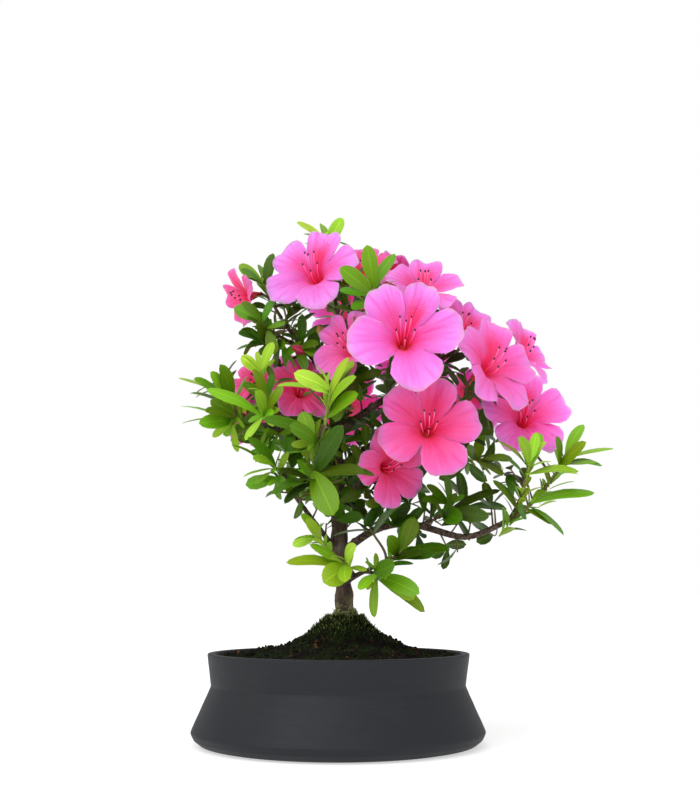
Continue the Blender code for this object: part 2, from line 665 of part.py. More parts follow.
def leaf_plans(end, curve):
    """Each leaf of one end of a spray: its base on the stem, its reach, its normal and its width."""
    if end in SHOOTS:
        return hero_plans(end, curve)
    if end in BLOOMS and end not in BARE_BLOOMS:
        return whorl_plans(end, curve, BLOOM_LEAVES, BLOOM_LEAF_START, BLOOM_LEAF_SPACING)
    if end in WHORLS:
        return whorl_plans(end, curve, WHORLS[end][1], LEAF_STALK, LEAF_SPACING)
    return []


def hero_plans(end, curve):
    """The leaves of a shoot that is seen from the front, each as the list says."""
    tip, way = curve(1), way_of(curve, 1)
    share, narrowest, widest = HERO_WIDTH
    plans = []
    for i, (*reach, seen) in enumerate(SHOOTS[end][1]):
        base = tip - way * (LEAF_STALK + LEAF_SPACING * i)
        reach = Vector(reach) + tip - base
        width = max(seen, min(max(share * reach.length, narrowest), widest))
        plans.append((base, reach, seen_normal(reach, seen / width), width))
    return plans


def whorl_plans(end, curve, count, start, spacing):
    """Leaves that stand round a stem at golden-angle turns, with sizes drawn from the end's own name."""
    tip, way = curve(1), way_of(curve, 1)
    plans = []
    for i in range(count):
        draw = random.Random(f"{end} {i}")
        base = tip - way * (start + spacing * i)
        side = way.orthogonal().normalized()
        side.rotate(Matrix.Rotation(GOLDEN_ANGLE * i + draw.uniform(0, WHORL_JITTER), 3, way))
        opening = math.radians(draw.uniform(*WHORL_OPENING))
        length = draw.uniform(*WHORL_LENGTH)
        reach = (way * math.cos(opening) + side * math.sin(opening)) * length
        plans.append((base, reach, way + UP * WHORL_LIFT, length * draw.uniform(*WHORL_WIDTH)))
    return plans


def seen_normal(reach, share):
    """The normal of a leaf that shows this share of its width from the front, with its upper side up."""
    way = reach.normalized()
    facing = (FRONT - way * FRONT.dot(way)).normalized()
    side = way.cross(facing)
    if side.z < 0:
        side = -side
    share = min(share, 1.0)
    return facing * share + side * math.sqrt(1 - share * share)


def bent(reach, turn, lift, length):
    """The reach turned about Z, then lifted, then made longer or shorter."""
    flat = Matrix.Rotation(math.radians(turn), 3, UP) @ reach
    level = flat.cross(UP).normalized()
    return (Matrix.Rotation(math.radians(lift), 3, level) @ flat) * length


def place_leaf(plan, node, clearance, blades):
    """The leaf as planned or bent clear of every other node and of its own spray's blades, or nothing."""
    base, reach, normal, width = plan
    for bend in BENDS:
        tip = base + bent(reach, *bend)
        rings = leaf_rings(base, tip, normal, width)
        if not blades.free(None, skin(rings[1:])):
            continue
        if clearance.free(node, skin(leaf_rings(base, tip, normal, width, grow=GAP))):
            solid = skin(rings)
            blades.add(node, skin(rings[1:]))
            clearance.add(node, solid)
            return solid
    return None


def bud_solid(place, way, length, radius):
    """A pointed spindle."""
    tip = Vector(place)
    way = Vector(way).normalized()
    rings = [ring_round(tip - way * (length * (1 - share)), way, way.orthogonal(), radius * spread, BUD_SIDES)
             for share, spread in BUD_STATIONS]
    return skin([*rings, [tip]])


def make_flowers(materials, clearance):
    for letter, (centre, facing, radius, lobes) in BLOOMS.items():
        solids = [corolla_solid(centre, facing, radius, lobes), *stamen_solids(centre, facing, radius)]
        for solid in solids:
            clearance.add(f"bloom_{letter}", solid)
        fuse(f"bloom_{letter}", solids, materials["petal"])
    for name, bud in BUDS.items():
        solid = bud_solid(*bud)
        clearance.add(name, solid)
        make_object(name, *solid, materials["bud"])


def make_wood(material, clearance, sprays):
    """Trunk, limbs and the woody part of each spray's main stem, as one body."""
    solids = wood_solids()
    shares = (0, WOODY_SHARE / 2, WOODY_SHARE)
    for main, *_ in sprays.values():
        solids.append(tube([main(share) for share in shares], (TWIG_RADIUS,) * len(shares), STEM_SIDES))
    for solid in solids:
        clearance.add("wood", solid)
    fuse("wood", solids, material)


def green_stems(ends, curves):
    """A spray's stems, of which the main one starts a gap beyond its woody part."""
    main = curves[0]
    length = (main(1) - main(0)).length
    solids = [stem_solid(main, TWIG_RADIUS, ends[0], WOODY_SHARE + GAP / length)]
    for end, curve in zip(ends[1:], curves[1:]):
        solids.append(stem_solid(curve, STEM_RADIUS, end))
    return solids


def make_sprays(material, clearance, sprays, stems):
    for spray, curves in sprays.items():
        node = f"spray_{spray}"
        solids = stems[spray]
        blades = Clearance()
        for end, curve in zip(SPRAYS[spray][2], curves):
            for plan in leaf_plans(end, curve):
                solid = place_leaf(plan, node, clearance, blades)
                if solid:
                    solids.append(solid)
        fuse(node, solids, material)


def build():
    clear_scene()
    materials = make_materials()
    make_pot(materials["stoneware"])
    make_soil(materials["soil"])
    clearance = Clearance()
    limbs = limb_curves()
    sprays = {spray: spray_curves(spray, limbs) for spray in SPRAYS}
    stems = {spray: green_stems(SPRAYS[spray][2], curves) for spray, curves in sprays.items()}
    for spray, solids in stems.items():
        for solid in solids:
            clearance.add(f"spray_{spray}", solid)
    make_wood(materials["bark"], clearance, sprays)
    make_flowers(materials, clearance)
    make_sprays(materials["leaf"], clearance, sprays, stems)


build()
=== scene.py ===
"""Azalea bonsai in bloom in its round stoneware pot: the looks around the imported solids.

Sizes and places are millimetres in the plant's own frame, and are turned into metres where a mesh is made.
The lists of limbs, sprays, blooms and leaves are those that the solids are built from.
"""

import math
import random
from functools import partial

import bmesh
import bpy
import numpy as np
from mathutils import Matrix, Vector
from mathutils.bvhtree import BVHTree
from mathutils.kdtree import KDTree


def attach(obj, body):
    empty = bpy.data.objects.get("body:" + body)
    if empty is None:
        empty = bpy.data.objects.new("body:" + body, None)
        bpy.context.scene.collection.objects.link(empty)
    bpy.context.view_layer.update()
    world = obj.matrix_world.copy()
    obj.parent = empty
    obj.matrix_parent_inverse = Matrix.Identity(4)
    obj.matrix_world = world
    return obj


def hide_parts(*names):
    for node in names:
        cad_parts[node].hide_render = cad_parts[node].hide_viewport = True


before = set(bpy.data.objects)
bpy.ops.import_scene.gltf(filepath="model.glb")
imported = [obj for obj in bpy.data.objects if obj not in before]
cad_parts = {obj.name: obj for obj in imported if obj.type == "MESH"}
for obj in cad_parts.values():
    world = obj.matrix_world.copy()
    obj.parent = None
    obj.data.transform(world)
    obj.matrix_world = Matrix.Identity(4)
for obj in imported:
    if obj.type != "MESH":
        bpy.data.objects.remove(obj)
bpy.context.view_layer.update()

MM = 0.001
UP = Vector((0, 0, 1))
FRONT = Vector((0, -1, 0))
GAP = 0.3

# Wood: points along each limb, then its thickness at the root and at the tip
TRUNK = ((4, 0, 57.3), (4, 0, 72), (3, 0, 87), (1, 0, 110), (0, 2, 130), (-1, 4, 155),
         (-2, 4, 184), (-1, 3, 215), (0, 4, 243))
TRUNK_RADII = (8.4, 5.9, 4.9, 4.7, 4.5, 4.2, 3.5, 2.7, 1.8)
LIMBS = {
    "right_low": (((1, 0, 108), (20, -8, 122), (38, -14, 126), (58, -20, 120), (72, -22, 115), (87, -22, 121),
                   (104, -20, 130)), 2.5, 1.5),
    "left_low": (((0, 0, 108), (-15, -10, 127), (-27, -16, 143), (-31, -18, 152)), 1.7, 1.2),
    "front_left": (((0, 2, 126), (-5, -18, 134), (-9, -38, 142), (-11, -52, 148)), 2.2, 1.4),
    "front_low": (((2, 0, 90), (8, -14, 94), (14, -24, 97)), 2.0, 1.3),
    "front_right": (((0, 2, 132), (9, -12, 143), (16, -24, 152)), 2.0, 1.3),
    "right_mid": (((-1, 4, 150), (22, -2, 164), (48, -8, 176), (70, -12, 184)), 2.4, 1.4),
    "right_up": (((-2, 4, 180), (24, 4, 198), (50, 3, 216), (68, 2, 228)), 2.4, 1.3),
    "left_mid": (((-1, 4, 156), (-16, -3, 170), (-32, -12, 178), (-46, -18, 182)), 2.1, 1.2),
    "left_up": (((-1, 3, 205), (-13, 2, 221), (-24, -2, 233)), 1.9, 1.2),
    "front_up": (((-1, 3, 196), (4, -12, 206), (8, -28, 216)), 2.0, 1.3),
    "back_low": (((0, 2, 128), (-6, 20, 140), (-12, 40, 150)), 2.0, 1.2),
    "back_right": (((-1, 4, 158), (18, 22, 174), (36, 38, 188)), 2.2, 1.3),
    "back_left": (((-1, 4, 168), (-16, 20, 184), (-30, 34, 198)), 2.1, 1.2),
    "back_top": (((-1, 3, 208), (2, 18, 224), (6, 32, 240)), 1.9, 1.2),
}

# Stems: the first part of a spray's main stem is woody twig, and its side stems fork off further along
TWIG_RADIUS = 1.15
STEM_RADIUS = 0.8
STEM_TIP_RADIUS = 0.65
CALYX_RADIUS = 1.9
CALYX_LENGTH = 2.5
WOODY_SHARE = 0.4
FORK_SHARE = 0.6
OUTWARD_PULL = 1.2
UPWARD_PULL = 0.35

# Blooms: middle of the mouth, way it faces, radius, and its lobes' angles clockwise from the top
BLOOMS = {
    "a": ((-16, -37, 270), (-0.3, -0.87, 0.38), 28, (12, 82, 158, 238, 305)),
    "b": ((36, -82, 221), (0.02, -0.98, 0.12), 31, (23, 76, 162, 261, 332)),
    "c": ((89, -52, 211), (0.6, -0.75, 0.25), 28, (10, 82, 154, 226, 298)),
    "d": ((109, -22, 187), (0.12, -0.94, 0.32), 26, (0, 72, 144, 216, 288)),
    "e": ((115, 0, 230), (0.74, -0.50, 0.42), 22, (30, 102, 174, 246, 318)),
    "f": ((49, -68, 174), (0.0, -0.99, 0.1), 28, (12, 82, 153, 250, 308)),
    "g": ((31, -45, 154), (0.5, -0.8, -0.1), 23, (50, 122, 194, 266, 338)),
    "h": ((-59, -14, 258), (-0.8, -0.45, -0.3), 18, (0, 72, 144, 216, 288)),
    "i": ((-50, -6, 209), (-0.3, -0.9, 0.3), 15, (36, 108, 180, 252, 324)),
    "j": ((-21, -20, 203), (0.25, -0.9, 0.3), 20, (0, 72, 144, 216, 288)),
    "k": ((3, -49, 222), (-0.6, -0.72, 0.2), 22, (30, 102, 174, 246, 318)),
    "l": ((16, -4, 282), (0.0, -0.72, 0.65), 20, (0, 72, 144, 216, 288)),
    "m": ((38, 22, 281), (0.4, 0.3, 0.85), 22, (36, 108, 180, 252, 324)),
    "n": ((50, -30, 263), (0.1, -0.75, 0.65), 23, (10, 82, 154, 226, 298)),
    "o": ((74, -22, 239), (0.45, -0.72, 0.5), 24, (50, 122, 194, 266, 338)),
    "p": ((84, 28, 251), (0.5, 0.1, 0.85), 23, (0, 72, 144, 216, 288)),
    "q": ((-32, 54, 214), (-0.45, 0.8, 0.3), 24, (20, 92, 164, 236, 308)),
    "r": ((2, 60, 268), (-0.1, 0.8, 0.6), 25, (0, 72, 144, 216, 288)),
    "s": ((48, 66, 236), (0.25, 0.92, 0.3), 26, (36, 108, 180, 252, 324)),
    "t": ((84, 52, 204), (0.7, 0.7, 0.15), 24, (10, 82, 154, 226, 298)),
    "u": ((6, 78, 206), (0.0, 0.98, 0.1), 25, (50, 122, 194, 266, 338)),
    "v": ((-58, 44, 196), (-0.75, 0.65, 0.1), 21, (0, 72, 144, 216, 288)),
}

# Flower form, all as shares of its radius
FLOWER_DEPTH = 0.73
TUBE_FOOT = 0.065
STAMENS = 5
STAMEN_ROOT = (0.27, 0.07)
STAMEN_END = (0.84, 0.17)
STAMEN_SPREAD = 0.12
STAMEN_LEAN = 0.12

# Leafy shoots: place of the tip, then each leaf's reach from there and the width that shows from the front
SHOOTS = {
    "crown": ((-9, -10, 296), ((-15, 0, 9, 5), (-16, -15, 5, 5), (-2, 12, 13, 5), (11, 0, 13, 8))),
    "front_top": ((20, -50, 256), ((-4, -14, 20, 9), (12, 0, 19, 7), (-19, -11, 8, 10), (-19, -13, -6, 6),
                                   (-12, -15, -17, 7), (6, 0, 12, 4))),
    "left_top": ((-45, -20, 266), ((-14, 0, 11, 7), (-11, -20, 2, 5), (-3, 15, 15, 5), (6, 0, 18, 7))),
    "left_mid": ((-46, -25, 242), ((-15, 0, 8, 8), (8, 0, 13, 5), (-9, -21, 5, 6))),
    "left_in": ((-45, -18, 229), ((-12, -20, 2, 5), (-2, -21, 8, 6), (-15, 0, -3, 3))),
    "left_bright": ((-44, -40, 210), ((7, 0, 16, 6), (-11, 0, 8, 7), (6, 15, 9, 5))),
    "far_left": ((-66, -25, 196), ((-27, 0, 12, 3), (-16, -14, 9, 5), (-6, -19, 12, 6), (-1, -16, 17, 7),
                                   (13, 0, 13, 3), (-20, 0, 3, 3))),
    "far_left_low": ((-61, -28, 180), ((-30, 0, 11, 2), (-29, 0, 1, 2), (-17, -15, -1, 9), (-13, -18, 5, 6),
                                       (-14, 0, 14, 8))),
    "long_left": ((-42, -45, 182), ((-30, -16, 13, 7), (-3, -20, 12, 6), (11, 0, 18, 6), (-5, -13, 25, 5))),
    "riser": ((-4, -72, 194), ((-19, -12, 6, 9), (-29, 0, 1, 4), (-14, -17, -4, 5), (10, 0, 17, 5),
                               (14, 6, 14, 3), (-1, 16, 12, 3), (14, 11, 18, 8), (14, -18, 3, 5),
                               (15, -17, -6, 8))),
    "mid_left": ((-14, -68, 162), ((-5, 0, 20, 9), (5, 0, 16, 3), (-11, -18, 10, 8), (-25, -17, 13, 7))),
    "heart": ((-13, -72, 150), ((11, -14, -25, 14), (33, 0, -3, 5), (27, -13, -3, 7), (16, -14, 22, 10),
                                (-22, 0, -13, 5), (-15, 0, -18, 5), (-19, 0, 0, 4), (-7, -16, -15, 7),
                                (28, 0, 30, 3))),
    "low_left": ((-35, -40, 155), ((-11, -20, 2, 5), (-18, 0, -6, 2), (-8, -18, -11, 4), (-25, 0, 12, 2),
                                   (-15, -10, 15, 5))),
    "bright_low": ((4, -34, 103), ((6, -21, 8, 6), (0, -20, -12, 8), (-12, -15, -12, 14), (-33, 0, -1, 6),
                                   (-20, 0, 9, 5))),
    "bright_low_up": ((-12, -24, 118), ((-14, 0, -6, 6), (-9, 0, 12, 5), (-6, -14, 8, 6))),
    "low_right": ((24, -42, 97), ((18, 0, -15, 9), (-12, -17, -10, 5), (-4, 0, -25, 5), (20, -12, -12, 10),
                                  (23, 0, -22, 7), (-1, -23, 3, 5))),
    "low_mid": ((36, -34, 109), ((7, 0, 18, 9), (7, 12, 20, 6), (-9, -20, 7, 8), (26, 0, 1, 7),
                                 (16, -16, -4, 6), (9, -21, -3, 4))),
    "right_bright": ((107, -42, 158), ((4, 0, 16, 6), (-9, -18, 11, 7), (-18, 0, 11, 3), (7, 8, 17, 8),
                                       (27, 0, -6, 5), (-16, 0, 4, 3))),
    "right_far": ((130, -24, 162), ((11, 0, 19, 6), (28, 0, 5, 3), (21, 0, -5, 4), (14, -17, -5, 3),
                                    (-8, -16, 10, 5), (5, -18, 7, 5))),
    "right_low": ((108, -34, 135), ((36, 0, 6, 6), (18, 0, -18, 4), (13, 0, -11, 5), (-10, -20, -6, 10),
                                    (-21, 0, 13, 5))),
    "right_in": ((65, -28, 135), ((-18, 0, 3, 5), (-15, 0, 11, 5), (-6, -17, 14, 5), (19, -10, -8, 9),
                                  (3, -21, -10, 10), (-11, -20, -4, 5), (27, 0, 8, 5))),
    "right_up": ((82, -18, 160), ((0, 0, 17, 5), (16, -17, -1, 5), (-10, -20, 6, 7), (10, -18, -10, 6),
                                  (-10, -19, -8, 6))),
}

# Leafy shoots inside the crown, at its sides and its back: place of the tip, and how many leaves
WHORLS = {
    "inner_top": ((-24, 4, 256), 4),
    "inner_left_low": ((-38, 12, 178), 4),
    "inner_left": ((-30, 14, 206), 4),
    "inner_right": ((44, -16, 144), 5),
    "inner_right_high": ((94, 4, 174), 4),
    "under_front": ((40, -36, 194), 4),
    "trunk_front": ((18, -26, 122), 5),
    "trunk_left": ((-20, -14, 138), 3),
    "upper_inner": ((56, 6, 250), 3),
    "low_branch": ((76, -8, 136), 4),
    "back_low_left": ((-42, 62, 158), 6),
    "back_low_mid": ((-6, 74, 160), 5),
    "back_low_right": ((44, 66, 160), 5),
    "back_far_right": ((92, 26, 170), 6),
    "back_far_left": ((-74, 20, 212), 6),
    "back_high_left": ((-36, 30, 268), 4),
    "back_high_right": ((66, 34, 262), 4),
    "back_crown": ((16, 26, 290), 4),
}

# Sprays: the limb each grows from, how far along it, and its ends in order: shoots by name, blooms by letter
SPRAYS = {
    "crown": ("trunk", 1.0, ("crown", "a")),
    "crown_back": ("trunk", 0.93, ("l", "m")),
    "front_top": ("front_up", 1.0, ("front_top", "b")),
    "front_mid": ("front_up", 0.7, ("k",)),
    "left_top": ("left_up", 1.0, ("left_top", "h", "inner_top")),
    "left_mid": ("left_up", 0.75, ("left_mid", "left_in")),
    "inner_left": ("left_up", 0.25, ("red_bud", "green_bud", "j", "inner_left")),
    "left_front": ("left_mid", 0.65, ("left_bright", "long_left")),
    "left_back": ("left_mid", 0.3, ("i", "inner_left_low")),
    "far_left": ("left_mid", 1.0, ("far_left", "far_left_low")),
    "riser": ("front_left", 1.0, ("riser", "mid_left")),
    "heart": ("front_left", 0.7, ("heart",)),
    "low_left": ("left_low", 1.0, ("low_left", "trunk_left")),
    "bright_low": ("front_low", 0.6, ("bright_low", "bright_low_up")),
    "low_right": ("front_low", 1.0, ("low_right",)),
    "low_mid": ("front_low", 0.85, ("low_mid", "trunk_front")),
    "right_bright": ("right_low", 0.93, ("right_bright",)),
    "right_far": ("right_low", 1.0, ("right_far", "d")),
    "right_low": ("right_low", 0.8, ("right_low",)),
    "right_in": ("right_low", 0.45, ("right_in", "low_branch")),
    "right_up": ("right_mid", 0.85, ("right_up",)),
    "right_mid": ("right_mid", 1.0, ("c", "inner_right_high")),
    "right_front": ("right_mid", 0.55, ("f", "under_front")),
    "front_right": ("front_right", 0.8, ("inner_right", "g")),
    "upper_right": ("right_up", 0.7, ("n", "o", "upper_inner")),
    "far_right": ("right_up", 1.0, ("p", "e")),
    "back_low": ("back_low", 1.0, ("back_low_mid", "back_low_left", "u")),
    "back_low_right": ("back_right", 0.6, ("back_low_right", "back_far_right")),
    "back_right": ("back_right", 1.0, ("s", "t")),
    "back_left": ("back_left", 1.0, ("q", "back_high_left")),
    "back_side": ("back_left", 0.7, ("v", "back_far_left")),
    "back_top": ("back_top", 1.0, ("r", "back_crown")),
}

# Buds: place of the tip, the way it points, length and radius
BUDS = {
    "red_bud": ((-28, -20, 228), (-0.8, -0.5, 0.3), 11, 3.0),
    "green_bud": ((-12, -25, 239), (-0.3, -0.8, 0.5), 9, 2.6),
}

# A leaf that would cut through another spray is bent: turns about Z and up, in degrees, and a new length
BENDS = ((0, 0, 1.0), (14, 0, 1.0), (-14, 0, 1.0), (0, 14, 1.0), (0, -14, 1.0), (26, 8, 0.92), (-26, 8, 0.92),
         (26, -12, 0.9), (-26, -12, 0.9), (0, 30, 0.85), (0, -30, 0.85), (44, 0, 0.8), (-44, 0, 0.8),
         (50, 25, 0.8), (-50, 25, 0.8), (50, -25, 0.8), (-50, -25, 0.8), (80, 0, 0.7), (-80, 0, 0.7))

# Leaves: their stalk and arch, then the rules for where and how wide they stand on a stem
LEAF_STALK = 0.6
LEAF_ARCH = 0.16
LEAF_SPACING = 2.0
HERO_WIDTH = (0.34, 5.0, 11.0)
BLOOM_LEAVES = 2
BARE_BLOOMS = ("f",)
BLOOM_LEAF_START = 11.0
BLOOM_LEAF_SPACING = 4.0
WHORL_OPENING = (62, 86)
WHORL_LENGTH = (19, 27)
WHORL_WIDTH = (0.32, 0.40)
WHORL_JITTER = 0.6
WHORL_LIFT = 0.6
STALK_END_SHARE = 0.4
GOLDEN_ANGLE = math.radians(137.5)

# Fine leaves: rows along the blade, places across its top and the one below the midrib
LEAF_ROWS = np.array((0.0, 0.10, 0.24, 0.40, 0.56, 0.71, 0.84, 0.94, 1.0))
LEAF_ACROSS = np.array((-1.0, -0.5, 0.0, 0.5, 1.0, 0.0))
LEAF_OUTLINE = (0.90, 0.55)
LEAF_FOLD = (0.20, 0.42)
LEAF_CURL = (0.18, 0.34)
LEAF_WAVE = 0.07
LEAF_KEEL = 0.45
STALK_RADIUS = 0.45
STEM_ROWS = 14
STEM_SIDES_FINE = 7
TIP_MATCH = 0.05
BLADE_START = 0.12
BLADE_WIDEST = 0.6

# Age of each shoot's newest leaves, from 0, just opened, to 1
SHOOT_AGES = {
    "crown": 0.18, "front_top": 0.38, "left_top": 0.55, "left_mid": 0.62, "left_in": 0.75,
    "left_bright": 0.22, "far_left": 0.35, "far_left_low": 0.40, "long_left": 0.30, "riser": 0.08,
    "mid_left": 0.50, "heart": 0.62, "low_left": 0.40, "bright_low": 0.12, "bright_low_up": 0.25,
    "low_right": 0.38, "low_mid": 0.55, "right_bright": 0.25, "right_far": 0.30, "right_low": 0.48,
    "right_in": 0.60, "right_up": 0.50,
}
WHORL_AGE = 0.68

# Small new leaves between the large ones of each shoot
SMALL_LEAVES = 8
SMALL_COUNTS = {"right_bright": 16, "right_far": 16, "right_low": 13}
SMALL_SPACING = 2.2
SMALL_OPENING = (25, 70)
SMALL_LENGTH = (9, 18)
SMALL_WIDTH = (0.26, 0.36)
SMALL_LIFT = 0.5
SMALL_JITTER = 1.0
SMALL_AGE_SPREAD = (-0.15, 0.1)
LEAF_AGE_STEP = 0.05
LEAF_AGE_SPREAD = (-0.12, 0.12)
STEM_AGEING = 0.45

# Spurs, the short side twigs inside the crown that carry old leaves: first and last share, spacing
LIMB_SPURS = (0.22, 1.0, 5.5)
TWIG_SPURS = (0.10, 0.92, 5.5)
TRUNK_SPURS = (0.26, 0.95, 5.0)
SPUR_LENGTH = (7, 15)
SPUR_RADII = (0.6, 0.4)
SPUR_LEAVES = (4, 6)
SPUR_OPENING = (50, 82)
INNER_LENGTH = (11, 19)
INNER_WIDTH = (0.36, 0.46)
INNER_LIFT = 0.7
INNER_SPACING = 0.8
INNER_AGE_SPREAD = (-0.16, 0.12)
SPUR_ROWS = 4
SPUR_SIDES = 4
SPUR_AGE = 0.8
SPUR_JITTER = 1.2
SPUR_AHEAD = 0.45
SPUR_LIFT = 0.25
INNER_JITTER = 0.7
INNER_ROWS = np.array((0.0, 0.16, 0.42, 0.68, 0.88, 1.0))
INNER_AGES = ((-20.0, 0.66), (60.0, 0.92))
LOWEST_INNER_LEAF = ((-20.0, 136.0), (10.0, 120.0), (60.0, 98.0))
CROWN_CENTRE = (22.0, 2.0, 196.0)
CROWN_REACH = (98.0, 64.0, 108.0)

# Corolla: places across a lobe and rows along it, then its form in shares of the radius
PETAL_ACROSS = np.sign(np.linspace(-1, 1, 17)) * np.abs(np.linspace(-1, 1, 17))**1.15
PETAL_ROWS = np.linspace(0, 1, 15)**0.9
LOBES = 5
TIP_SHARE = 1.02
TIP_VARIATION = (-0.03, 0.02)
NOTCH_SHARE = 0.47
WIDEST_HALF = 41.0
EDGE_FULLNESS = (2.6, 0.62)
FRILL_DEPTHS = (0.020, 0.012)
FRILL_COUNTS = (5.5, 13.0)
SPREAD_TURN = (1.02, 0.09)
SWAY = 0.05
PLEAT = 0.004
PLEATS = 11.0
TRUMPET = (4.66, 0.827)
MOUTH_HEIGHT = 0.70
CUP = 0.10
RECURVE = 0.05
NOTCH_DROP = -0.05
RUFFLE = 0.065
GROOVE = 0.04
GROOVE_WIDTH = 0.10
TUBE_OVERLAP = 0.004
OVERLAP = 0.035
PETAL_THICKNESS = 0.45
PATCH_SHARES = (1.0, 0.35, 0.0, 0.0, 0.55)
THROAT_FLOOR = (-0.002, 0.0, 0.03, 0.032)
PISTIL_END = (0.98, 0.17)
PISTIL_TURN = 0.3
FILAMENT_BOW = (-0.10, 0.0, 0.10)
FILAMENT_JITTER = 0.015
FILAMENT_SIDES = 5
FILAMENT_ROWS = 9
FILAMENT_RADII = (0.34, 0.22)
ANTHER_LENGTH = 1.7
ANTHER_RADIUS = 0.55
ANTHER_ROWS = 7
ANTHER_SIDES = 6
THROAT_SIDES = 10

# Buds: rows, sides, form from base to tip, then ribs: how many, their twist, and how deep they cut
BUD_ROWS = 15
BUD_SIDES = 20
BUD_FORM = ((0, 0.12, 0.35, 0.62, 0.85, 1), (0.30, 0.72, 1.0, 0.88, 0.42, 0.02))
BUD_RIBS = 2.5
BUD_TWIST = 2.2
BUD_DEPTHS = (0.90, 0.12)

# How much painted shade each bloom has: from 0, lilac pink as in full light, to 1, coral as in shade
PAINTED_SHADE = {
    "a": 0.08, "b": 0.05, "c": 0.42, "d": 0.35, "e": 0.20, "f": 0.80, "g": 0.85, "h": 0.90, "i": 0.95,
    "j": 1.0, "k": 0.60, "l": 0.85, "m": 0.60, "n": 0.30, "o": 0.25, "p": 0.25, "q": 0.45, "r": 0.15,
    "s": 0.25, "t": 0.35, "u": 0.55, "v": 0.50,
}

# Wood, pot and soil. Bark's ridges and knots and the soil's swells are each a depth and a size
BARK_VOXEL = 0.55
TRUNK_ROWS = 40
LIMB_ROWS = 24
TWIG_ROWS = 10
TWIG_ROOT = 1.1
STRIP_STRETCH = 0.16
FINE_STRETCH = 0.5
WOOD_SIDES = 12
BARK_RIDGES = (0.32, 3.0)
BARK_KNOTS = (0.45, 9.0)
BARK_FINE = (0.06, 1.7)
POT_OUTSIDE = ((73.0, 0.0), (78.8, 1.2), (82.6, 4.2), (84.2, 7.8), (73.0, 32.8), (75.3, 51.2))
POT_INSIDE = ((70.8, 51.2), (68.5, 32.8), (78.2, 8.5))
DRAIN_RADIUS = 5.0
DRAIN_REACH = 32.0
DRILL_HEIGHTS = (-9.0, -8.9, 17.9, 18.0)
DRILL_SIDES = 24
POT_SEGMENTS_FINE = 160
POT_EDGE = 0.9
POT_RINGS = 0.05
RING_SPACING = 3.1
POT_WOBBLE = (0.10, 70.0)
POT_STEP = 2.4
MOUND = ((8.9, 72.5), (14.0, 67.5), (23.0, 60.5), (36.0, 54.6), (54.0, 50.6), (70.0, 48.6))
SOIL_SWELLS = ((0.35, 6.0), (0.30, 2.6), (0.9, 24.0))
TRUNK_SINK = 57.0
TRUNK_HOLE_CENTRE = (4.0, 0.0)
SOIL_TURNS = 220
SOIL_ROWS = 90
MOSS_BLADES = 9000
MOSS_REACH = (9.4, 58.0)
MOSS_LENGTH = (0.9, 2.2)
MOSS_RADII = (0.30, 0.24, 0.0)
MOSS_LEAN = 0.45
MOSS_PATCH = 17.0
MOSS_SINK = 0.4
GRIT_COUNT = 900
GRIT_REACH = (13.0, 54.0)
GRIT_SIZE = (0.45, 1.15)
GRIT_SQUEEZE = (0.65, 1.3)
GRIT_ROWS = 5
GRIT_SIDES = 6
LICHEN_THREADS = 1500
LICHEN_HEIGHTS = (66.0, 78.0)
LICHEN_SPREAD = 5.0
LICHEN_SINK = 0.94
LICHEN_TANGLE = 0.7
LICHEN_BEND = 0.45
LICHEN_LENGTH = (0.8, 2.4)
LICHEN_RADII = (0.20, 0.17, 0.0)
WAVE_COUNT = 7
SHARP_ANGLE = math.radians(50)
MERGE_DISTANCE = 1e-6

# Studio
LENS = 52.97
SENSOR = 36
CAMERA_PLACE = (0.0066, -0.695, 0.088)
CAMERA_PITCH = 99.08
FLOOR_RADIUS = 12.0
FLOOR_SIDES = 64
FLOOR_GLOW = 0.55
WORLD_SEEN = 1.0
WORLD_LIGHT = 0.70
KEY_STRENGTH = 1.78
KEY_SPREAD = math.radians(60)
FILL_POWER = 1.2
FILL_SIZE = 0.9
KEY_PLACE = (-0.55, -0.95, 1.15)
FILL_PLACE = (0.95, -0.75, 0.55)
LIGHT_AIM = (0.02, 0.0, 0.15)


def bezier(start, start_pull, end_pull, end, share):
    """The point at a share from 0 to 1 of a cubic curve."""
    rest = 1 - share
    return (start * rest**3 + start_pull * (3 * rest**2 * share) + end_pull * (3 * rest * share**2)
            + end * share**3)


def stem_curve(start, start_way, end, end_way):
    """A function from a share of the stem to a point, which leaves start and reaches end the given ways."""
    pull = (end - start).length / 3
    handles = (start, start + start_way.normalized() * pull, end - end_way.normalized() * pull, end)
    return lambda share: bezier(*handles, share)


def route_curve(points):
    """A function from a share of the route's length to a point on it."""
    knots = [Vector(p) for p in points]
    lengths = [0.0]
    for a, b in zip(knots, knots[1:]):
        lengths.append(lengths[-1] + (b - a).length)

    def at(share):
        goal = min(max(share, 0.0), 1.0) * lengths[-1]
        for a, b, low, high in zip(knots, knots[1:], lengths, lengths[1:]):
            if goal <= high:
                return a.lerp(b, (goal - low) / (high - low))
        return knots[-1].copy()

    return at


def way_of(curve, share):
    step = 0.02
    return (curve(min(share + step, 1)) - curve(max(share - step, 0))).normalized()


def limb_curves():
    curves = {"trunk": route_curve(TRUNK)}
    for name, (points, _, _) in LIMBS.items():
        curves[name] = route_curve(points)
    return curves


def end_of(name):
    """Where an end of a spray is, and the way its stem arrives there."""
    if name in BLOOMS:
        centre, facing, radius, _ = BLOOMS[name]
        axis = Vector(facing).normalized()
        return bloom_base(centre, facing, radius) - axis * GAP, axis
    if name in BUDS:
        tip, facing, length, _ = BUDS[name]
        axis = Vector(facing).normalized()
        return Vector(tip) - axis * (length + GAP), axis
    return Vector((SHOOTS.get(name) or WHORLS.get(name))[0]), None


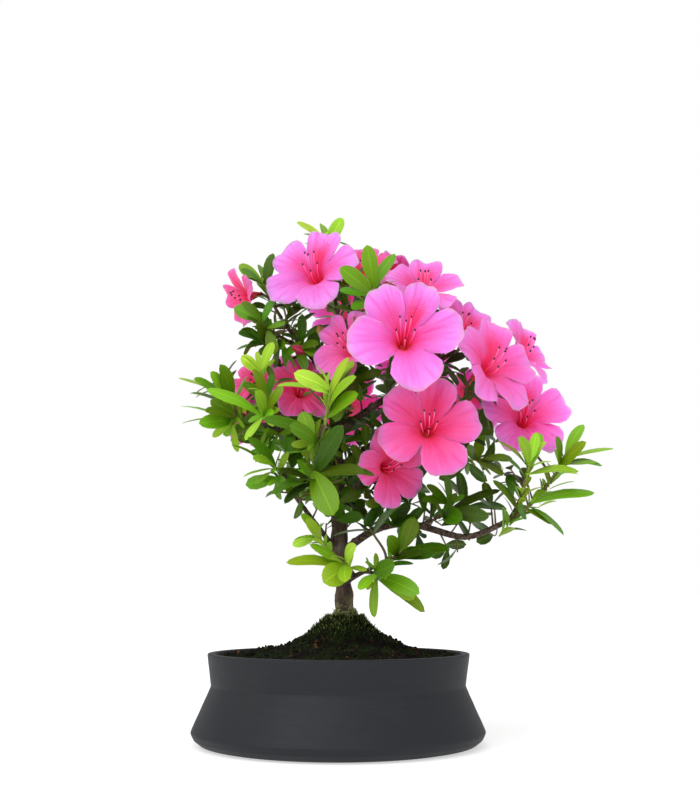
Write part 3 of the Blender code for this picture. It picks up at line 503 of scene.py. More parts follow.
def spray_curves(spray, limbs):
    """The curve of each stem of a spray: the first leaves its limb, and the others fork from the first."""
    limb, share, ends = SPRAYS[spray]
    curves = []
    start, way = limbs[limb](share), way_of(limbs[limb], share)
    for end in ends:
        place, arrive = end_of(end)
        chord = (place - start).normalized()
        if arrive is None:
            arrive = chord + UP * UPWARD_PULL
        curves.append(stem_curve(start, way + chord * OUTWARD_PULL, place, arrive))
        if len(curves) == 1:
            start, way = curves[0](FORK_SHARE), way_of(curves[0], FORK_SHARE)
    return curves


def leaf_plans(end, curve):
    """Each leaf of one end of a spray: its base on the stem, its reach, its normal and its width."""
    if end in SHOOTS:
        return hero_plans(end, curve)
    if end in BLOOMS and end not in BARE_BLOOMS:
        return whorl_plans(end, curve, BLOOM_LEAVES, BLOOM_LEAF_START, BLOOM_LEAF_SPACING)
    if end in WHORLS:
        return whorl_plans(end, curve, WHORLS[end][1], LEAF_STALK, LEAF_SPACING)
    return []


def hero_plans(end, curve):
    """The leaves of a shoot that is seen from the front, each as the list says."""
    tip, way = curve(1), way_of(curve, 1)
    share, narrowest, widest = HERO_WIDTH
    plans = []
    for i, (*reach, seen) in enumerate(SHOOTS[end][1]):
        base = tip - way * (LEAF_STALK + LEAF_SPACING * i)
        reach = Vector(reach) + tip - base
        width = max(seen, min(max(share * reach.length, narrowest), widest))
        plans.append((base, reach, seen_normal(reach, seen / width), width))
    return plans


def whorl_plans(end, curve, count, start, spacing):
    """Leaves that stand round a stem at golden-angle turns, with sizes drawn from the end's own name."""
    tip, way = curve(1), way_of(curve, 1)
    plans = []
    for i in range(count):
        draw = random.Random(f"{end} {i}")
        base = tip - way * (start + spacing * i)
        side = golden_side(way, i, draw.uniform(0, WHORL_JITTER))
        reach, length = opened(way, side, draw, WHORL_OPENING, WHORL_LENGTH)
        plans.append((base, reach, way + UP * WHORL_LIFT, length * draw.uniform(*WHORL_WIDTH)))
    return plans


def golden_side(way, number, jitter):
    """A direction square to a stem, a golden angle on from the one before and a little further."""
    side = way.orthogonal().normalized()
    side.rotate(Matrix.Rotation(GOLDEN_ANGLE * number + jitter, 3, way))
    return side


def opened(way, side, draw, openings, lengths):
    """A leaf's reach, opened from its stem by a drawn angle, and its drawn length."""
    opening = math.radians(draw.uniform(*openings))
    length = draw.uniform(*lengths)
    return (way * math.cos(opening) + side * math.sin(opening)) * length, length


def seen_normal(reach, share):
    """The normal of a leaf that shows this share of its width from the front, with its upper side up."""
    way = reach.normalized()
    facing = (FRONT - way * FRONT.dot(way)).normalized()
    side = way.cross(facing)
    if side.z < 0:
        side = -side
    share = min(share, 1.0)
    return facing * share + side * math.sqrt(1 - share * share)


def bent(reach, turn, lift, length):
    """The reach turned about Z, then lifted, then made longer or shorter."""
    flat = Matrix.Rotation(math.radians(turn), 3, UP) @ reach
    level = flat.cross(UP).normalized()
    return (Matrix.Rotation(math.radians(lift), 3, level) @ flat) * length


# Surfaces: arrays of points on a grid, (..., rows, columns, 3), in millimetres


def parabola(start, pull, end, share):
    """The point at a share of the curve that leaves start towards pull and reaches end from there."""
    return start * (1 - share)**2 + pull * (2 * share * (1 - share)) + end * share**2


def unit(vectors):
    return vectors / np.maximum(np.linalg.norm(vectors, axis=-1, keepdims=True), 1e-9)


def smooth(values, low, high):
    """0 below low, 1 above high, and an even rise between."""
    share = np.clip((values - low) / (high - low), 0, 1)
    return share * share * (3 - 2 * share)


def waves(points, size, seed):
    """A field from -1 to 1 that swells about once in a size: a sum of sines along drawn directions."""
    draw = np.random.default_rng(seed)
    total = np.zeros(points.shape[:-1])
    for _ in range(WAVE_COUNT):
        way = unit(draw.normal(size=3)) * (2 * math.pi / size) * draw.uniform(0.6, 1.4)
        total += np.sin(points @ way + draw.uniform(0, 2 * math.pi))
    return total / math.sqrt(WAVE_COUNT)


def tubes(paths, radii, sides):
    """Round skins: a circle carried along each path, square to it, (..., rows, sides, 3)."""
    ways = unit(np.gradient(paths, axis=-2))
    mean = unit(ways.mean(axis=-2, keepdims=True))
    axis = np.eye(3)[np.abs(mean).argmin(axis=-1)]
    side = unit(np.cross(ways, axis))
    across = np.cross(ways, side)
    turns = np.arange(sides) * 2 * math.pi / sides
    circle = (side[..., None, :] * np.cos(turns)[:, None] + across[..., None, :] * np.sin(turns)[:, None])
    return paths[..., None, :] + circle * radii[..., None, None]


class Skin:
    """Surfaces gathered for one piece: their points, places on the UV map, tones and finishes."""

    def __init__(self):
        self.points, self.faces, self.maps, self.finishes = [], [], [], []
        self.tones = {}
        self.count = 0

    def add(self, grid, across=0.0, along=0.0, closed=True, finish=0, **tones):
        """A grid of quads, whose columns run round and meet where it is closed."""
        grid = np.asarray(grid, float)
        rows, columns = grid.shape[-3:-1]
        numbers = self.count + np.arange(grid[..., 0].size).reshape(-1, rows, columns)
        after = np.roll(numbers, -1, axis=2)
        if not closed:
            numbers, after = numbers[:, :, :-1], after[:, :, :-1]
        quads = np.stack([numbers[:, :-1], after[:, :-1], after[:, 1:], numbers[:, 1:]], axis=-1)
        quads = quads.reshape(-1, 4)
        self.points.append(grid.reshape(-1, 3))
        self.faces.append(quads)
        self.finishes.append(np.full(len(quads), finish))
        shape = grid.shape[:-1]
        place = np.stack([np.broadcast_to(across, shape), np.broadcast_to(along, shape)], axis=-1)
        self.maps.append(place.reshape(-1, 2))
        for name in {*self.tones, *tones}:
            kept = self.tones.setdefault(name, [np.zeros(self.count)])
            kept.append(np.broadcast_to(tones.get(name, 0.0), shape).ravel())
        self.count += len(self.points[-1])

    def piece(self, name, finishes, body="root", sharp=SHARP_ANGLE):
        """The gathered surfaces as one mesh: meeting points merged, faces outwards, smooth but for edges."""
        mesh = bpy.data.meshes.new(name)
        faces = np.concatenate(self.faces)
        mesh.from_pydata((np.concatenate(self.points) * MM).tolist(), [], faces.tolist())
        mesh.uv_layers.new(name="surface").uv.foreach_set(
            "vector", np.concatenate(self.maps)[faces.ravel()].astype(np.float32).ravel())
        for tone, values in self.tones.items():
            attribute = mesh.attributes.new(tone, "FLOAT", "POINT")
            attribute.data.foreach_set("value", np.concatenate(values).astype(np.float32))
        mesh.polygons.foreach_set("material_index", np.concatenate(self.finishes).astype(np.int32))
        for finish in finishes:
            mesh.materials.append(finish)
        work = bmesh.new()
        work.from_mesh(mesh)
        bmesh.ops.remove_doubles(work, verts=work.verts, dist=MERGE_DISTANCE)
        bmesh.ops.recalc_face_normals(work, faces=work.faces)
        work.to_mesh(mesh)
        work.free()
        mesh.shade_smooth()
        mesh.set_sharp_from_angle(angle=sharp)
        piece = bpy.data.objects.new(name, mesh)
        bpy.context.scene.collection.objects.link(piece)
        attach(piece, body)
        return piece


# Leaves


def leaf_shells(bases, tips, normals, widths, rows, draw):
    """Closed blades, (leaves, rows, 6, 3): five points over the top of each row and one below the midrib.

    The midrib is a parabola from base to tip. The half width is share^a * (1 - share)^b, with its most at
    a / (a + b) of the length. Across, the blade folds up from the midrib and curls down towards its edges.
    """
    count = len(bases)
    share = rows[None, :, None]
    reach = tips - bases
    length = np.linalg.norm(reach, axis=-1)
    way = unit(reach)
    normals = unit(normals - way * (normals * way).sum(axis=-1, keepdims=True))
    side = np.cross(way, normals)
    arch = bases + reach / 2 + normals * (length * LEAF_ARCH)[:, None]
    middle = parabola(bases[:, None], arch[:, None], tips[:, None], share)
    before, after = LEAF_OUTLINE
    most = before / (before + after)
    form = rows**before * (1 - rows)**after / (most**before * (1 - most)**after)
    half = np.maximum(widths[:, None] / 2 * form, STALK_RADIUS * (rows < most))
    fold = draw.uniform(*LEAF_FOLD, size=(count, 1, 1))
    curl = draw.uniform(*LEAF_CURL, size=(count, 1, 1))
    wave = np.sin(draw.uniform(5, 8, size=(count, 1, 1)) * share + draw.uniform(0, 6, size=(count, 1, 1)))
    out = np.abs(LEAF_ACROSS)[None, None, :]
    rise = half[..., None] * (fold * out - curl * out**2 + LEAF_WAVE * wave * out)
    rise[..., -1] = -LEAF_KEEL * np.sin(math.pi * np.clip(rows, 0.02, 0.98))
    swing = side[:, None] * half[..., None]
    return (middle[:, :, None] + swing[:, :, None] * LEAF_ACROSS[None, None, :, None]
            + normals[:, None, None] * rise[..., None])


def add_leaves(skin, leaves, seed, rows=LEAF_ROWS):
    """Leaves as (base, tip, normal, width, age), where age runs from 0, just opened, to 1, old and dark."""
    draw = np.random.default_rng(seed)
    bases, tips, normals = (np.array([leaf[i] for leaf in leaves], float) for i in range(3))
    widths, ages = (np.array([leaf[i] for leaf in leaves], float) for i in (3, 4))
    shells = leaf_shells(bases, tips, normals, widths, rows, draw)
    under = np.zeros(len(LEAF_ACROSS))
    under[-1] = 1
    skin.add(shells, across=(LEAF_ACROSS + 1) / 2, along=rows[:, None], age=ages[:, None, None],
             under=under, tint=draw.uniform(0, 1, size=(len(leaves), 1, 1)))


def add_stem(skin, curve, first, root, end, age):
    """A round stem along a curve from its first share on, with a calyx cup under a bloom or a bud."""
    shares = np.linspace(first, 1.0, STEM_ROWS)
    path = np.array([curve(share) for share in shares])
    radii = root + (STEM_TIP_RADIUS - root) * np.linspace(0, 1, STEM_ROWS)
    radii[0] = 0.0 if first > 0 else radii[0]
    if end in BLOOMS or end in BUDS:
        cup = np.linalg.norm(path - path[-1], axis=-1) / CALYX_LENGTH
        radii = radii + (CALYX_RADIUS - STEM_TIP_RADIUS) * (1 - smooth(cup, 0.1, 1.0))
    radii[-1] *= STALK_END_SHARE
    path = np.concatenate([path, path[-1:]])
    radii = np.concatenate([radii, [0.0]])
    ages = np.concatenate([age[0] + (age[1] - age[0]) * np.linspace(0, 1, STEM_ROWS), [age[1]]])
    skin.add(tubes_with_end(path, radii), along=ages[:, None], finish=1, age=ages[:, None])


def tubes_with_end(path, radii):
    """A round skin whose last two rows are at the same place, so the end is a flat cap."""
    body = tubes(path[:-1], radii[:-1], STEM_SIDES_FINE)
    cap = np.broadcast_to(path[-1], (1, STEM_SIDES_FINE, 3))
    return np.concatenate([body, cap])


def placed_tip(plan, corners):
    """Where the solids have this leaf's tip, of all the ways that it may be bent, or nothing."""
    base, reach, _, _ = plan
    for bend in BENDS:
        tip = base + bent(reach, *bend)
        _, _, apart = corners.find(tip)
        if apart < TIP_MATCH:
            return tip
    return None


def corners_of(node):
    points = [vert.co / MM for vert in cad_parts[node].data.vertices]
    corners = KDTree(len(points))
    for number, point in enumerate(points):
        corners.insert(point, number)
    corners.balance()
    return corners


def leaf_age(end, number):
    """Leaves further down a shoot are older, from the age of the shoot's own tip."""
    tip_age = SHOOT_AGES.get(end, WHORL_AGE)
    draw = random.Random(f"{end} age {number}")
    age = tip_age + LEAF_AGE_STEP * number + draw.uniform(*LEAF_AGE_SPREAD)
    return min(max(age, 0.0), 1.0)


def small_leaves(end, curve):
    """Small new leaves between the large ones of a shoot, from its very tip down its stem."""
    if end not in SHOOTS:
        return []
    tip, way = curve(1), way_of(curve, 1)
    found = []
    for number in range(SMALL_COUNTS.get(end, SMALL_LEAVES)):
        draw = random.Random(f"{end} small {number}")
        side = golden_side(way, number, draw.uniform(0, SMALL_JITTER))
        reach, length = opened(way, side, draw, SMALL_OPENING, SMALL_LENGTH)
        base = tip - way * (SMALL_SPACING * number)
        age = max(SHOOT_AGES[end] + draw.uniform(*SMALL_AGE_SPREAD), 0.0)
        width = length * draw.uniform(*SMALL_WIDTH)
        found.append((base, base + reach, way + UP * SMALL_LIFT, width, age))
    return found


def clear_of(wanted, trees):
    """Those of the wanted leaves that cut into none of the trees, which their own blades then join."""
    kept = []
    for leaf in wanted:
        blade = BVHTree.FromPolygons(*thin_blade(leaf))
        if not any(tree.overlap(blade) for tree in trees):
            trees.append(blade)
            kept.append(leaf)
    return kept


def make_spray(spray, curves, finishes, trees):
    """One leafy spray: its green stems and its leaves, in place of its node."""
    others = [tree for name, tree in trees.items() if name != f"spray_{spray}"]
    ends = SPRAYS[spray][2]
    corners = corners_of(f"spray_{spray}")
    skin = Skin()
    leaves = []
    small = []
    for number, (end, curve) in enumerate(zip(ends, curves)):
        start = WOODY_SHARE if number == 0 else 0.0
        root = TWIG_RADIUS if number == 0 else STEM_RADIUS
        young = SHOOT_AGES.get(end, WHORL_AGE)
        ages = (min(young + STEM_AGEING, 1.0), young)
        add_stem(skin, curve, start, root, end, ages)
        for place, plan in enumerate(leaf_plans(end, curve)):
            tip = placed_tip(plan, corners)
            if tip is None:
                continue
            leaves.append((plan[0], tip, plan[2], plan[3], leaf_age(end, place)))
        small += small_leaves(end, curve)
    blades = [BVHTree.FromPolygons(*thin_blade(leaf)) for leaf in leaves]
    leaves += clear_of(small, blades + others)
    if leaves:
        add_leaves(skin, leaves, len(spray) + 100 * len(leaves))
    piece = skin.piece(f"leafy_{spray}", finishes)
    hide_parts(f"spray_{spray}")


def node_trees():
    """The solids of every bloom and spray, to ask whether a new leaf cuts into them."""
    return {name: BVHTree.FromPolygons([vert.co / MM for vert in node.data.vertices],
                                       [tuple(face.vertices) for face in node.data.polygons])
            for name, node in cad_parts.items() if name.startswith(("bloom", "spray"))}


def make_inner_leaves(limbs, sprays, finishes, trees):
    """Spurs with rosettes of old leaves along the wood and the stems, clear of every bloom and other leaf."""
    trees = list(trees.values())
    routes = [("trunk", limbs["trunk"], TRUNK_SPURS)]
    routes += [(name, limbs[name], LIMB_SPURS) for name in LIMBS]
    routes += [(name, curves[0], TWIG_SPURS) for name, curves in sprays.items()]
    skin = Skin()
    leaves = []
    for name, curve, (first, last, spacing) in routes:
        length = sum((curve(i / 10) - curve((i + 1) / 10)).length for i in range(10))
        for i in range(int((last - first) * length / spacing)):
            draw = random.Random(f"{name} spur {i}")
            share = first + (i + draw.uniform(0, 0.8)) * spacing / length
            base, tip = spur_ends(curve, share, i, draw)
            kept = clear_of(rosette(base, tip, draw), trees)
            if kept:
                leaves += kept
                path = np.linspace(base, tip, SPUR_ROWS)
                radii = np.linspace(*SPUR_RADII, SPUR_ROWS)
                skin.add(tubes(path, radii, SPUR_SIDES), finish=1, age=SPUR_AGE)
    add_leaves(skin, leaves, 7, INNER_ROWS)
    skin.piece("inner_leaves", finishes)


def spur_ends(curve, share, number, draw):
    """Where the spur at one place of a route starts and ends: each a golden angle on from the one before."""
    base, way = curve(share), way_of(curve, share)
    side = golden_side(way, number, draw.uniform(0, SPUR_JITTER))
    spur_way = (way * SPUR_AHEAD + side + UP * SPUR_LIFT).normalized()
    return base, base + spur_way * draw.uniform(*SPUR_LENGTH)


def rosette(base, tip, draw):
    """A spur's leaves as (base, tip, normal, width, age), but for those that would leave the crown."""
    way = (tip - base).normalized()
    found = []
    for number in range(draw.randint(*SPUR_LEAVES)):
        side = golden_side(way, number, draw.uniform(0, INNER_JITTER))
        reach, length = opened(way, side, draw, SPUR_OPENING, INNER_LENGTH)
        end = tip + reach
        age = np.interp(end.x, *zip(*INNER_AGES)) + draw.uniform(*INNER_AGE_SPREAD)
        width = length * draw.uniform(*INNER_WIDTH)
        apart = sum(((end[i] - CROWN_CENTRE[i]) / CROWN_REACH[i])**2 for i in range(3))
        lowest = np.interp(end.x, *zip(*LOWEST_INNER_LEAF))
        if apart < 1 and min(end.z, tip.z) > lowest:
            found.append((tip - way * (INNER_SPACING * number), end, way + UP * INNER_LIFT, width, age))
    return found


def thin_blade(leaf):
    """A leaf as two triangles, from just past its stalk by its widest place to its tip, to test for cuts."""
    base, tip, normal, width, _ = leaf
    reach = tip - base
    side = reach.cross(normal).normalized() * (width / 2)
    middle = base + reach * BLADE_WIDEST
    return [base + reach * BLADE_START, middle + side, tip, middle - side], [(0, 1, 2), (0, 2, 3)]


# Blooms


def bloom_frame(facing):
    """The flower's axis, and the directions up and right on its mouth as one who looks into it sees them."""
    axis = Vector(facing).normalized()
    up = (UP - axis * UP.dot(axis)).normalized()
    return axis, up, up.cross(axis)


def bloom_base(centre, facing, radius):
    return Vector(centre) - Vector(facing).normalized() * (FLOWER_DEPTH * radius)


def lobe_shells(radius, lobes, draw):
    """The five lobes of a corolla as closed shells, (5, rows, ring, 3), in shares of the flower's own frame.

    A lobe is a fan round the flower's axis: its edge is a superellipse between the notches and the tip. Its
    height follows a trumpet, 1 - exp(-k r^p), to which its shoulders' cup, its ruffled rim, its groove
    and the tilt that lays each lobe's right edge over the next one's left edge are added.
    """
    here = np.array(lobes, float)
    after = (np.roll(here, -1) - here) % 360 / 2
    before = np.roll(after, 1)
    across = PETAL_ACROSS[None, None, :]
    along = PETAL_ROWS[None, :, None]
    half = np.where(across < 0, before[:, None, None], after[:, None, None])
    spread = smooth(along, 0.25, 0.55)
    half = half + (np.minimum(half, WIDEST_HALF) - half) * spread
    each = (LOBES, 1, 1)
    turn = np.radians(here[:, None, None] + across * half * (SPREAD_TURN[0] + SPREAD_TURN[1] * spread))
    tip = TIP_SHARE * (1 + draw.uniform(*TIP_VARIATION, size=each))
    fullness = np.maximum(1 - np.abs(across)**EDGE_FULLNESS[0], 0)**EDGE_FULLNESS[1]
    edge = NOTCH_SHARE + (tip - NOTCH_SHARE) * fullness
    ragged = draw.uniform(0, 2 * math.pi, size=each)
    frill = (FRILL_DEPTHS[0] * np.sin(FRILL_COUNTS[0] * across + ragged)
             + FRILL_DEPTHS[1] * np.sin(FRILL_COUNTS[1] * across + 2 * ragged))
    edge = edge * (1 + frill * (1 - across**4))
    trim = 1 + (edge / TIP_SHARE - 1) * smooth(along, 0.0, 1.0)
    out = TUBE_FOOT + (TIP_SHARE - TUBE_FOOT) * along * trim
    height = MOUTH_HEIGHT * (1 - np.exp(-TRUMPET[0] * np.maximum(out - TUBE_FOOT, 0)**TRUMPET[1]))
    height = height + CUP * np.sin(math.pi * np.abs(across)**1.3) * along**3
    height = height - RECURVE * along**6 * (1 - np.abs(across)) + NOTCH_DROP * np.abs(across)**5 * along**2
    ruffle = np.sin(across * draw.uniform(6, 9, size=each) + draw.uniform(0, 6.3, size=each))
    height = height + RUFFLE * ruffle * along**5 * np.abs(across)**0.5
    height = height + SWAY * draw.uniform(-1, 1, size=each) * along**3
    height = height + PLEAT * np.cos(PLEATS * across + ragged) * smooth(along, 0.2, 0.5)
    groove = GROOVE * np.exp(-(across / GROOVE_WIDTH)**2)
    height = height - groove * smooth(along, 0.15, 0.4) * (1 - 0.6 * along)
    height = height + (TUBE_OVERLAP + OVERLAP * smooth(out, 0.32, 0.5)) * across
    lift = np.broadcast_to(height, out.shape)
    flat = np.stack([np.broadcast_to(np.cos(turn) * out, out.shape),
                     np.broadcast_to(np.sin(turn) * out, out.shape), lift], axis=-1)
    normal = unit(np.cross(np.gradient(flat, axis=2), np.gradient(flat, axis=1)))
    thick = PETAL_THICKNESS / radius / 2
    bulge = thick * np.minimum((1 - across**2) * 6, 1) * np.minimum((1 - along) * 8, 1)
    top = flat + normal * bulge[..., None]
    bottom = flat - normal * bulge[..., None]
    return np.concatenate([top, bottom[:, :, -2:0:-1]], axis=2)


def make_flower(letter, finishes):
    """One bloom in place of its node: five lobes, five stamens with their anthers, and the pistil."""
    centre, facing, radius, lobes = BLOOMS[letter]
    draw = np.random.default_rng(ord(letter))
    axis, up, right = (np.array(way) for way in bloom_frame(facing))
    base = np.array(bloom_base(centre, facing, radius))

    def placed(points):
        return base + (up * points[..., 0:1] + right * points[..., 1:2] + axis * points[..., 2:3]) * radius

    ring = np.concatenate([PETAL_ACROSS, PETAL_ACROSS[-2:0:-1]])
    under = np.concatenate([np.zeros(len(PETAL_ACROSS)), np.ones(len(PETAL_ACROSS) - 2)])
    patch = np.array(PATCH_SHARES)[:, None, None]
    skin = Skin()
    # Each bloom's share of painted shade goes on its lobes and its throat floor
    skin.add(placed(lobe_shells(radius, lobes, draw)), across=(ring + 1) / 2, along=PETAL_ROWS[:, None],
             blotch=patch, warmth=PAINTED_SHADE[letter], under=under,
             tint=draw.uniform(0, 1, size=(LOBES, 1, 1)))
    floor = placed(np.array([0, 0, 1.0]) * np.array(THROAT_FLOOR)[:, None])
    skin.add(tubes(floor, np.array([0, 1, 1, 0]) * TUBE_FOOT * radius, THROAT_SIDES),
             warmth=PAINTED_SHADE[letter])
    add_stamens(skin, placed, radius, draw)
    piece = skin.piece(f"flower_{letter}", finishes)
    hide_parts(f"bloom_{letter}")


def add_stamens(skin, placed, radius, draw):
    """Filaments that leave the throat and arch up, each with an anther, and a longer pistil."""
    turns = 2 * math.pi * (np.arange(STAMENS) + 0.5) / STAMENS
    turns = np.append(turns, PISTIL_TURN)
    count = len(turns)
    out = np.stack([np.cos(turns), np.sin(turns), 0 * turns], axis=-1)
    ahead = np.array([0.0, 0.0, 1.0])
    start = ahead * STAMEN_ROOT[0] + out * STAMEN_ROOT[1]
    start[-1] = ahead * STAMEN_ROOT[0]
    end = (ahead * (STAMEN_END[0] + STAMEN_SPREAD * np.cos(turns))[:, None] + out * STAMEN_END[1]
           + np.array([STAMEN_LEAN, 0, 0]))
    end[-1] = ahead * PISTIL_END[0] + np.array([PISTIL_END[1], 0, 0])
    bow = (start + end) / 2 + np.array(FILAMENT_BOW) + draw.normal(0, FILAMENT_JITTER, size=(count, 3))
    share = np.linspace(0, 1, FILAMENT_ROWS)[None, :, None]
    paths = placed(parabola(start[:, None], bow[:, None], end[:, None], share))
    thin = np.broadcast_to(np.linspace(*FILAMENT_RADII, FILAMENT_ROWS), (count, FILAMENT_ROWS))
    skin.add(tubes(paths, thin, FILAMENT_SIDES), along=share, finish=1)
    ways = unit(paths[:, -1] - paths[:, -2])
    beads = np.linspace(-1, 1, ANTHER_ROWS)
    lines = paths[:, -1:, :] + ways[:, None, :] * beads[None, :, None] * (ANTHER_LENGTH / 2)
    plump = np.sqrt(np.maximum(1 - beads**2, 0)) * ANTHER_RADIUS
    skin.add(tubes(lines, np.broadcast_to(plump, (count, ANTHER_ROWS)), ANTHER_SIDES), finish=2)


def make_bud(name, finish):
    """A pointed spindle of wrapped petals: its ribs turn slowly round it from base to tip."""
    place, way, length, radius = BUDS[name]
    way = np.array(Vector(way).normalized())
    share = np.linspace(0, 1, BUD_ROWS)
    path = np.array(place) - way * length * (1 - share)[:, None]
    grid = tubes(path, radius * np.interp(share, *BUD_FORM), BUD_SIDES)
    turns = np.arange(BUD_SIDES) * 2 * math.pi / BUD_SIDES
    ribs = np.abs(np.sin(BUD_RIBS * turns[None] + BUD_TWIST * share[:, None]))
    middle = path[:, None]
    grid = middle + (grid - middle) * (BUD_DEPTHS[0] + BUD_DEPTHS[1] * ribs)[..., None]
    grid[0] = grid[0].mean(axis=0)
    skin = Skin()
    # The ribs, from 0 in a groove to 1 on a ridge, also set the red bud's painted shade in its grooves
    skin.add(grid, along=share[:, None], across=ribs, green=float(name == "green_bud"))
    piece = skin.piece(f"fine_{name}", [finish])
    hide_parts(name)


# Wood


def make_wood(limbs, sprays, finish):
    """Trunk, limbs and twigs, grown into one skin by a voxel remesh, then roughened into ridged bark."""
    skin = Skin()
    trunk = np.array([limbs["trunk"](share) for share in np.linspace(0, 1, TRUNK_ROWS)])
    heights = [point[2] for point in TRUNK]
    thick = np.interp(trunk[:, 2], heights, TRUNK_RADII)
    routes = [(trunk, thick)]
    for name, (_, root, tip) in LIMBS.items():
        path = rounded([limbs[name](share) for share in np.linspace(0, 1, LIMB_ROWS)])
        routes.append((path, np.linspace(root, tip, LIMB_ROWS)))
    for curves in sprays.values():
        path = np.array([curves[0](share) for share in np.linspace(0, WOODY_SHARE, TWIG_ROWS)])
        routes.append((path, np.linspace(TWIG_RADIUS * TWIG_ROOT, TWIG_RADIUS, TWIG_ROWS)))
    for path, radii in routes:
        grid = tubes(path, radii, WOOD_SIDES)
        ends = [np.broadcast_to(path[i], (1, WOOD_SIDES, 3)) for i in (0, -1)]
        skin.add(np.concatenate([ends[0], grid, ends[1]]))
    piece = skin.piece("trunk_and_limbs", [finish])
    remesh = piece.modifiers.new("grown_together", "REMESH")
    remesh.mode = "VOXEL"
    remesh.voxel_size = BARK_VOXEL * MM
    graph = bpy.context.evaluated_depsgraph_get()
    grown = bpy.data.meshes.new_from_object(piece.evaluated_get(graph))
    piece.modifiers.clear()
    piece.data = grown
    roughen_bark(grown)
    grown.materials.clear()
    grown.materials.append(finish)
    grown.shade_smooth()
    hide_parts("wood")


def rounded(points):
    """A route whose corners are eased by averaging each point with its neighbours, with its ends kept."""
    path = np.array(points, float)
    for _ in range(3):
        path[1:-1] = (path[:-2] + 2 * path[1:-1] + path[2:]) / 4
    return path


def roughen_bark(mesh):
    """Moves each point along its normal: long ridges and knots up the trunk, and fine grain all over."""
    points = np.zeros(len(mesh.vertices) * 3, np.float32)
    mesh.vertices.foreach_get("co", points)
    points = points.reshape(-1, 3).astype(float)
    normals = np.array([normal.vector for normal in mesh.vertex_normals])
    place = points / MM
    out = np.hypot(place[:, 0] - 1, place[:, 1] - 2)
    trunk = smooth(-out, -14.0, -4.0) * (1 - smooth(place[:, 2], 150, 235))
    ridges = BARK_RIDGES[0] * waves(place * (1, 1, STRIP_STRETCH), BARK_RIDGES[1], 11)
    knots = BARK_KNOTS[0] * waves(place, BARK_KNOTS[1], 12)
    fine = BARK_FINE[0] * waves(place * (1, 1, FINE_STRETCH), BARK_FINE[1], 13)
    move = trunk * (ridges + knots) + fine
    points += normals * (move * MM)[:, None]
    mesh.vertices.foreach_set("co", points.astype(np.float32).ravel())
    mesh.attributes.new("upright", "FLOAT", "POINT").data.foreach_set("value", trunk.astype(np.float32))
    mesh.update()


# Pot and soil


def lathe(profile, segments):
    """A profile of radius and height turned about Z, (rows, segments, 3)."""
    turns = np.arange(segments) * 2 * math.pi / segments
    radius, height = np.array(profile, float).T
    return np.stack([radius[:, None] * np.sin(turns), -radius[:, None] * np.cos(turns),
                     np.broadcast_to(height[:, None], (len(radius), segments))], axis=-1)


def eased(corners, radius, steps=4):
    """A profile whose inner corners are each a parabola from a radius before to a radius after."""
    corners = [np.array(corner, float) for corner in corners]
    path = [corners[0]]
    for before, here, after in zip(corners, corners[1:], corners[2:]):
        back, ahead = before - here, after - here
        reach = min(radius, np.linalg.norm(back) / 2.2, np.linalg.norm(ahead) / 2.2)
        start, end = here + unit(back) * reach, here + unit(ahead) * reach
        for share in np.linspace(0, 1, steps):
            path.append(parabola(start, here, end, share))
    path.append(corners[-1])
    return path


def filled(profile, longest):
    """The same profile with points added, so no step is longer than this."""
    made = [profile[0]]
    for a, b in zip(profile, profile[1:]):
        steps = max(int(np.linalg.norm(b - a) / longest), 1)
        made += [a + (b - a) * (i + 1) / steps for i in range(steps)]
    return made


def make_pot(finish):
    """The turned pot with eased edges and shallow throwing rings, and its two drain holes."""
    rim_mid = (POT_OUTSIDE[-1][0] + POT_INSIDE[0][0]) / 2
    corners = [(0, 0), *POT_OUTSIDE, (rim_mid, POT_OUTSIDE[-1][1]), *POT_INSIDE, (0, POT_INSIDE[-1][1])]
    grid = lathe(filled(eased(corners, POT_EDGE), POT_STEP), POT_SEGMENTS_FINE)
    out = np.hypot(grid[..., 0], grid[..., 1])
    uneven = 0.6 * np.sin(grid[..., 2] * 0.37)
    rings = POT_RINGS * np.sin(grid[..., 2] * 2 * math.pi / RING_SPACING + uneven)
    wobble = POT_WOBBLE[0] * waves(grid, POT_WOBBLE[1], 21)
    push = (rings + wobble) * smooth(out, 66.0, 70.0) * smooth(grid[..., 2], 0.5, 3.0)
    grid[..., :2] *= (1 + push / np.maximum(out, 1))[..., None]
    skin = Skin()
    skin.add(grid)
    piece = skin.piece("stoneware_pot", [finish], sharp=math.radians(60))
    drills = []
    for number, side in enumerate((-1, 1), start=1):
        drill = Skin()
        path = np.array([(side * DRAIN_REACH, 0, height) for height in DRILL_HEIGHTS])
        drill.add(tubes(path, np.array((0.0, DRAIN_RADIUS, DRAIN_RADIUS, 0.0)), DRILL_SIDES))
        drills.append(drill.piece(f"drain_drill_{number}", [finish]))
        cut = piece.modifiers.new(f"drain_{number}", "BOOLEAN")
        cut.object = drills[-1]
    bpy.context.view_layer.update()
    graph = bpy.context.evaluated_depsgraph_get()
    bored = bpy.data.meshes.new_from_object(piece.evaluated_get(graph))
    piece.modifiers.clear()
    piece.data = bored
    for drill in drills:
        bpy.data.objects.remove(drill)
    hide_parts("pot")


def mound_height(place):
    """The height of the soil's top at places (..., 2): the profile round the trunk, swells and crumbs."""
    out = np.hypot(place[..., 0], place[..., 1])
    lean = (1 - smooth(out, 9.0, 70.0)) * TRUNK_HOLE_CENTRE[0]
    near = np.hypot(place[..., 0] - lean, place[..., 1])
    radii, heights = zip(*MOUND)
    rise = np.interp(near, radii, heights)
    flat = np.concatenate([place, np.zeros_like(place[..., :1])], axis=-1)
    crumbs = sum(depth * waves(flat, size, seed) for seed, (depth, size) in enumerate(SOIL_SWELLS, start=31))
    hold = smooth(near, 9.0, 16.0) * (1 - smooth(out, 66.5, 68.0))
    return rise + crumbs * hold


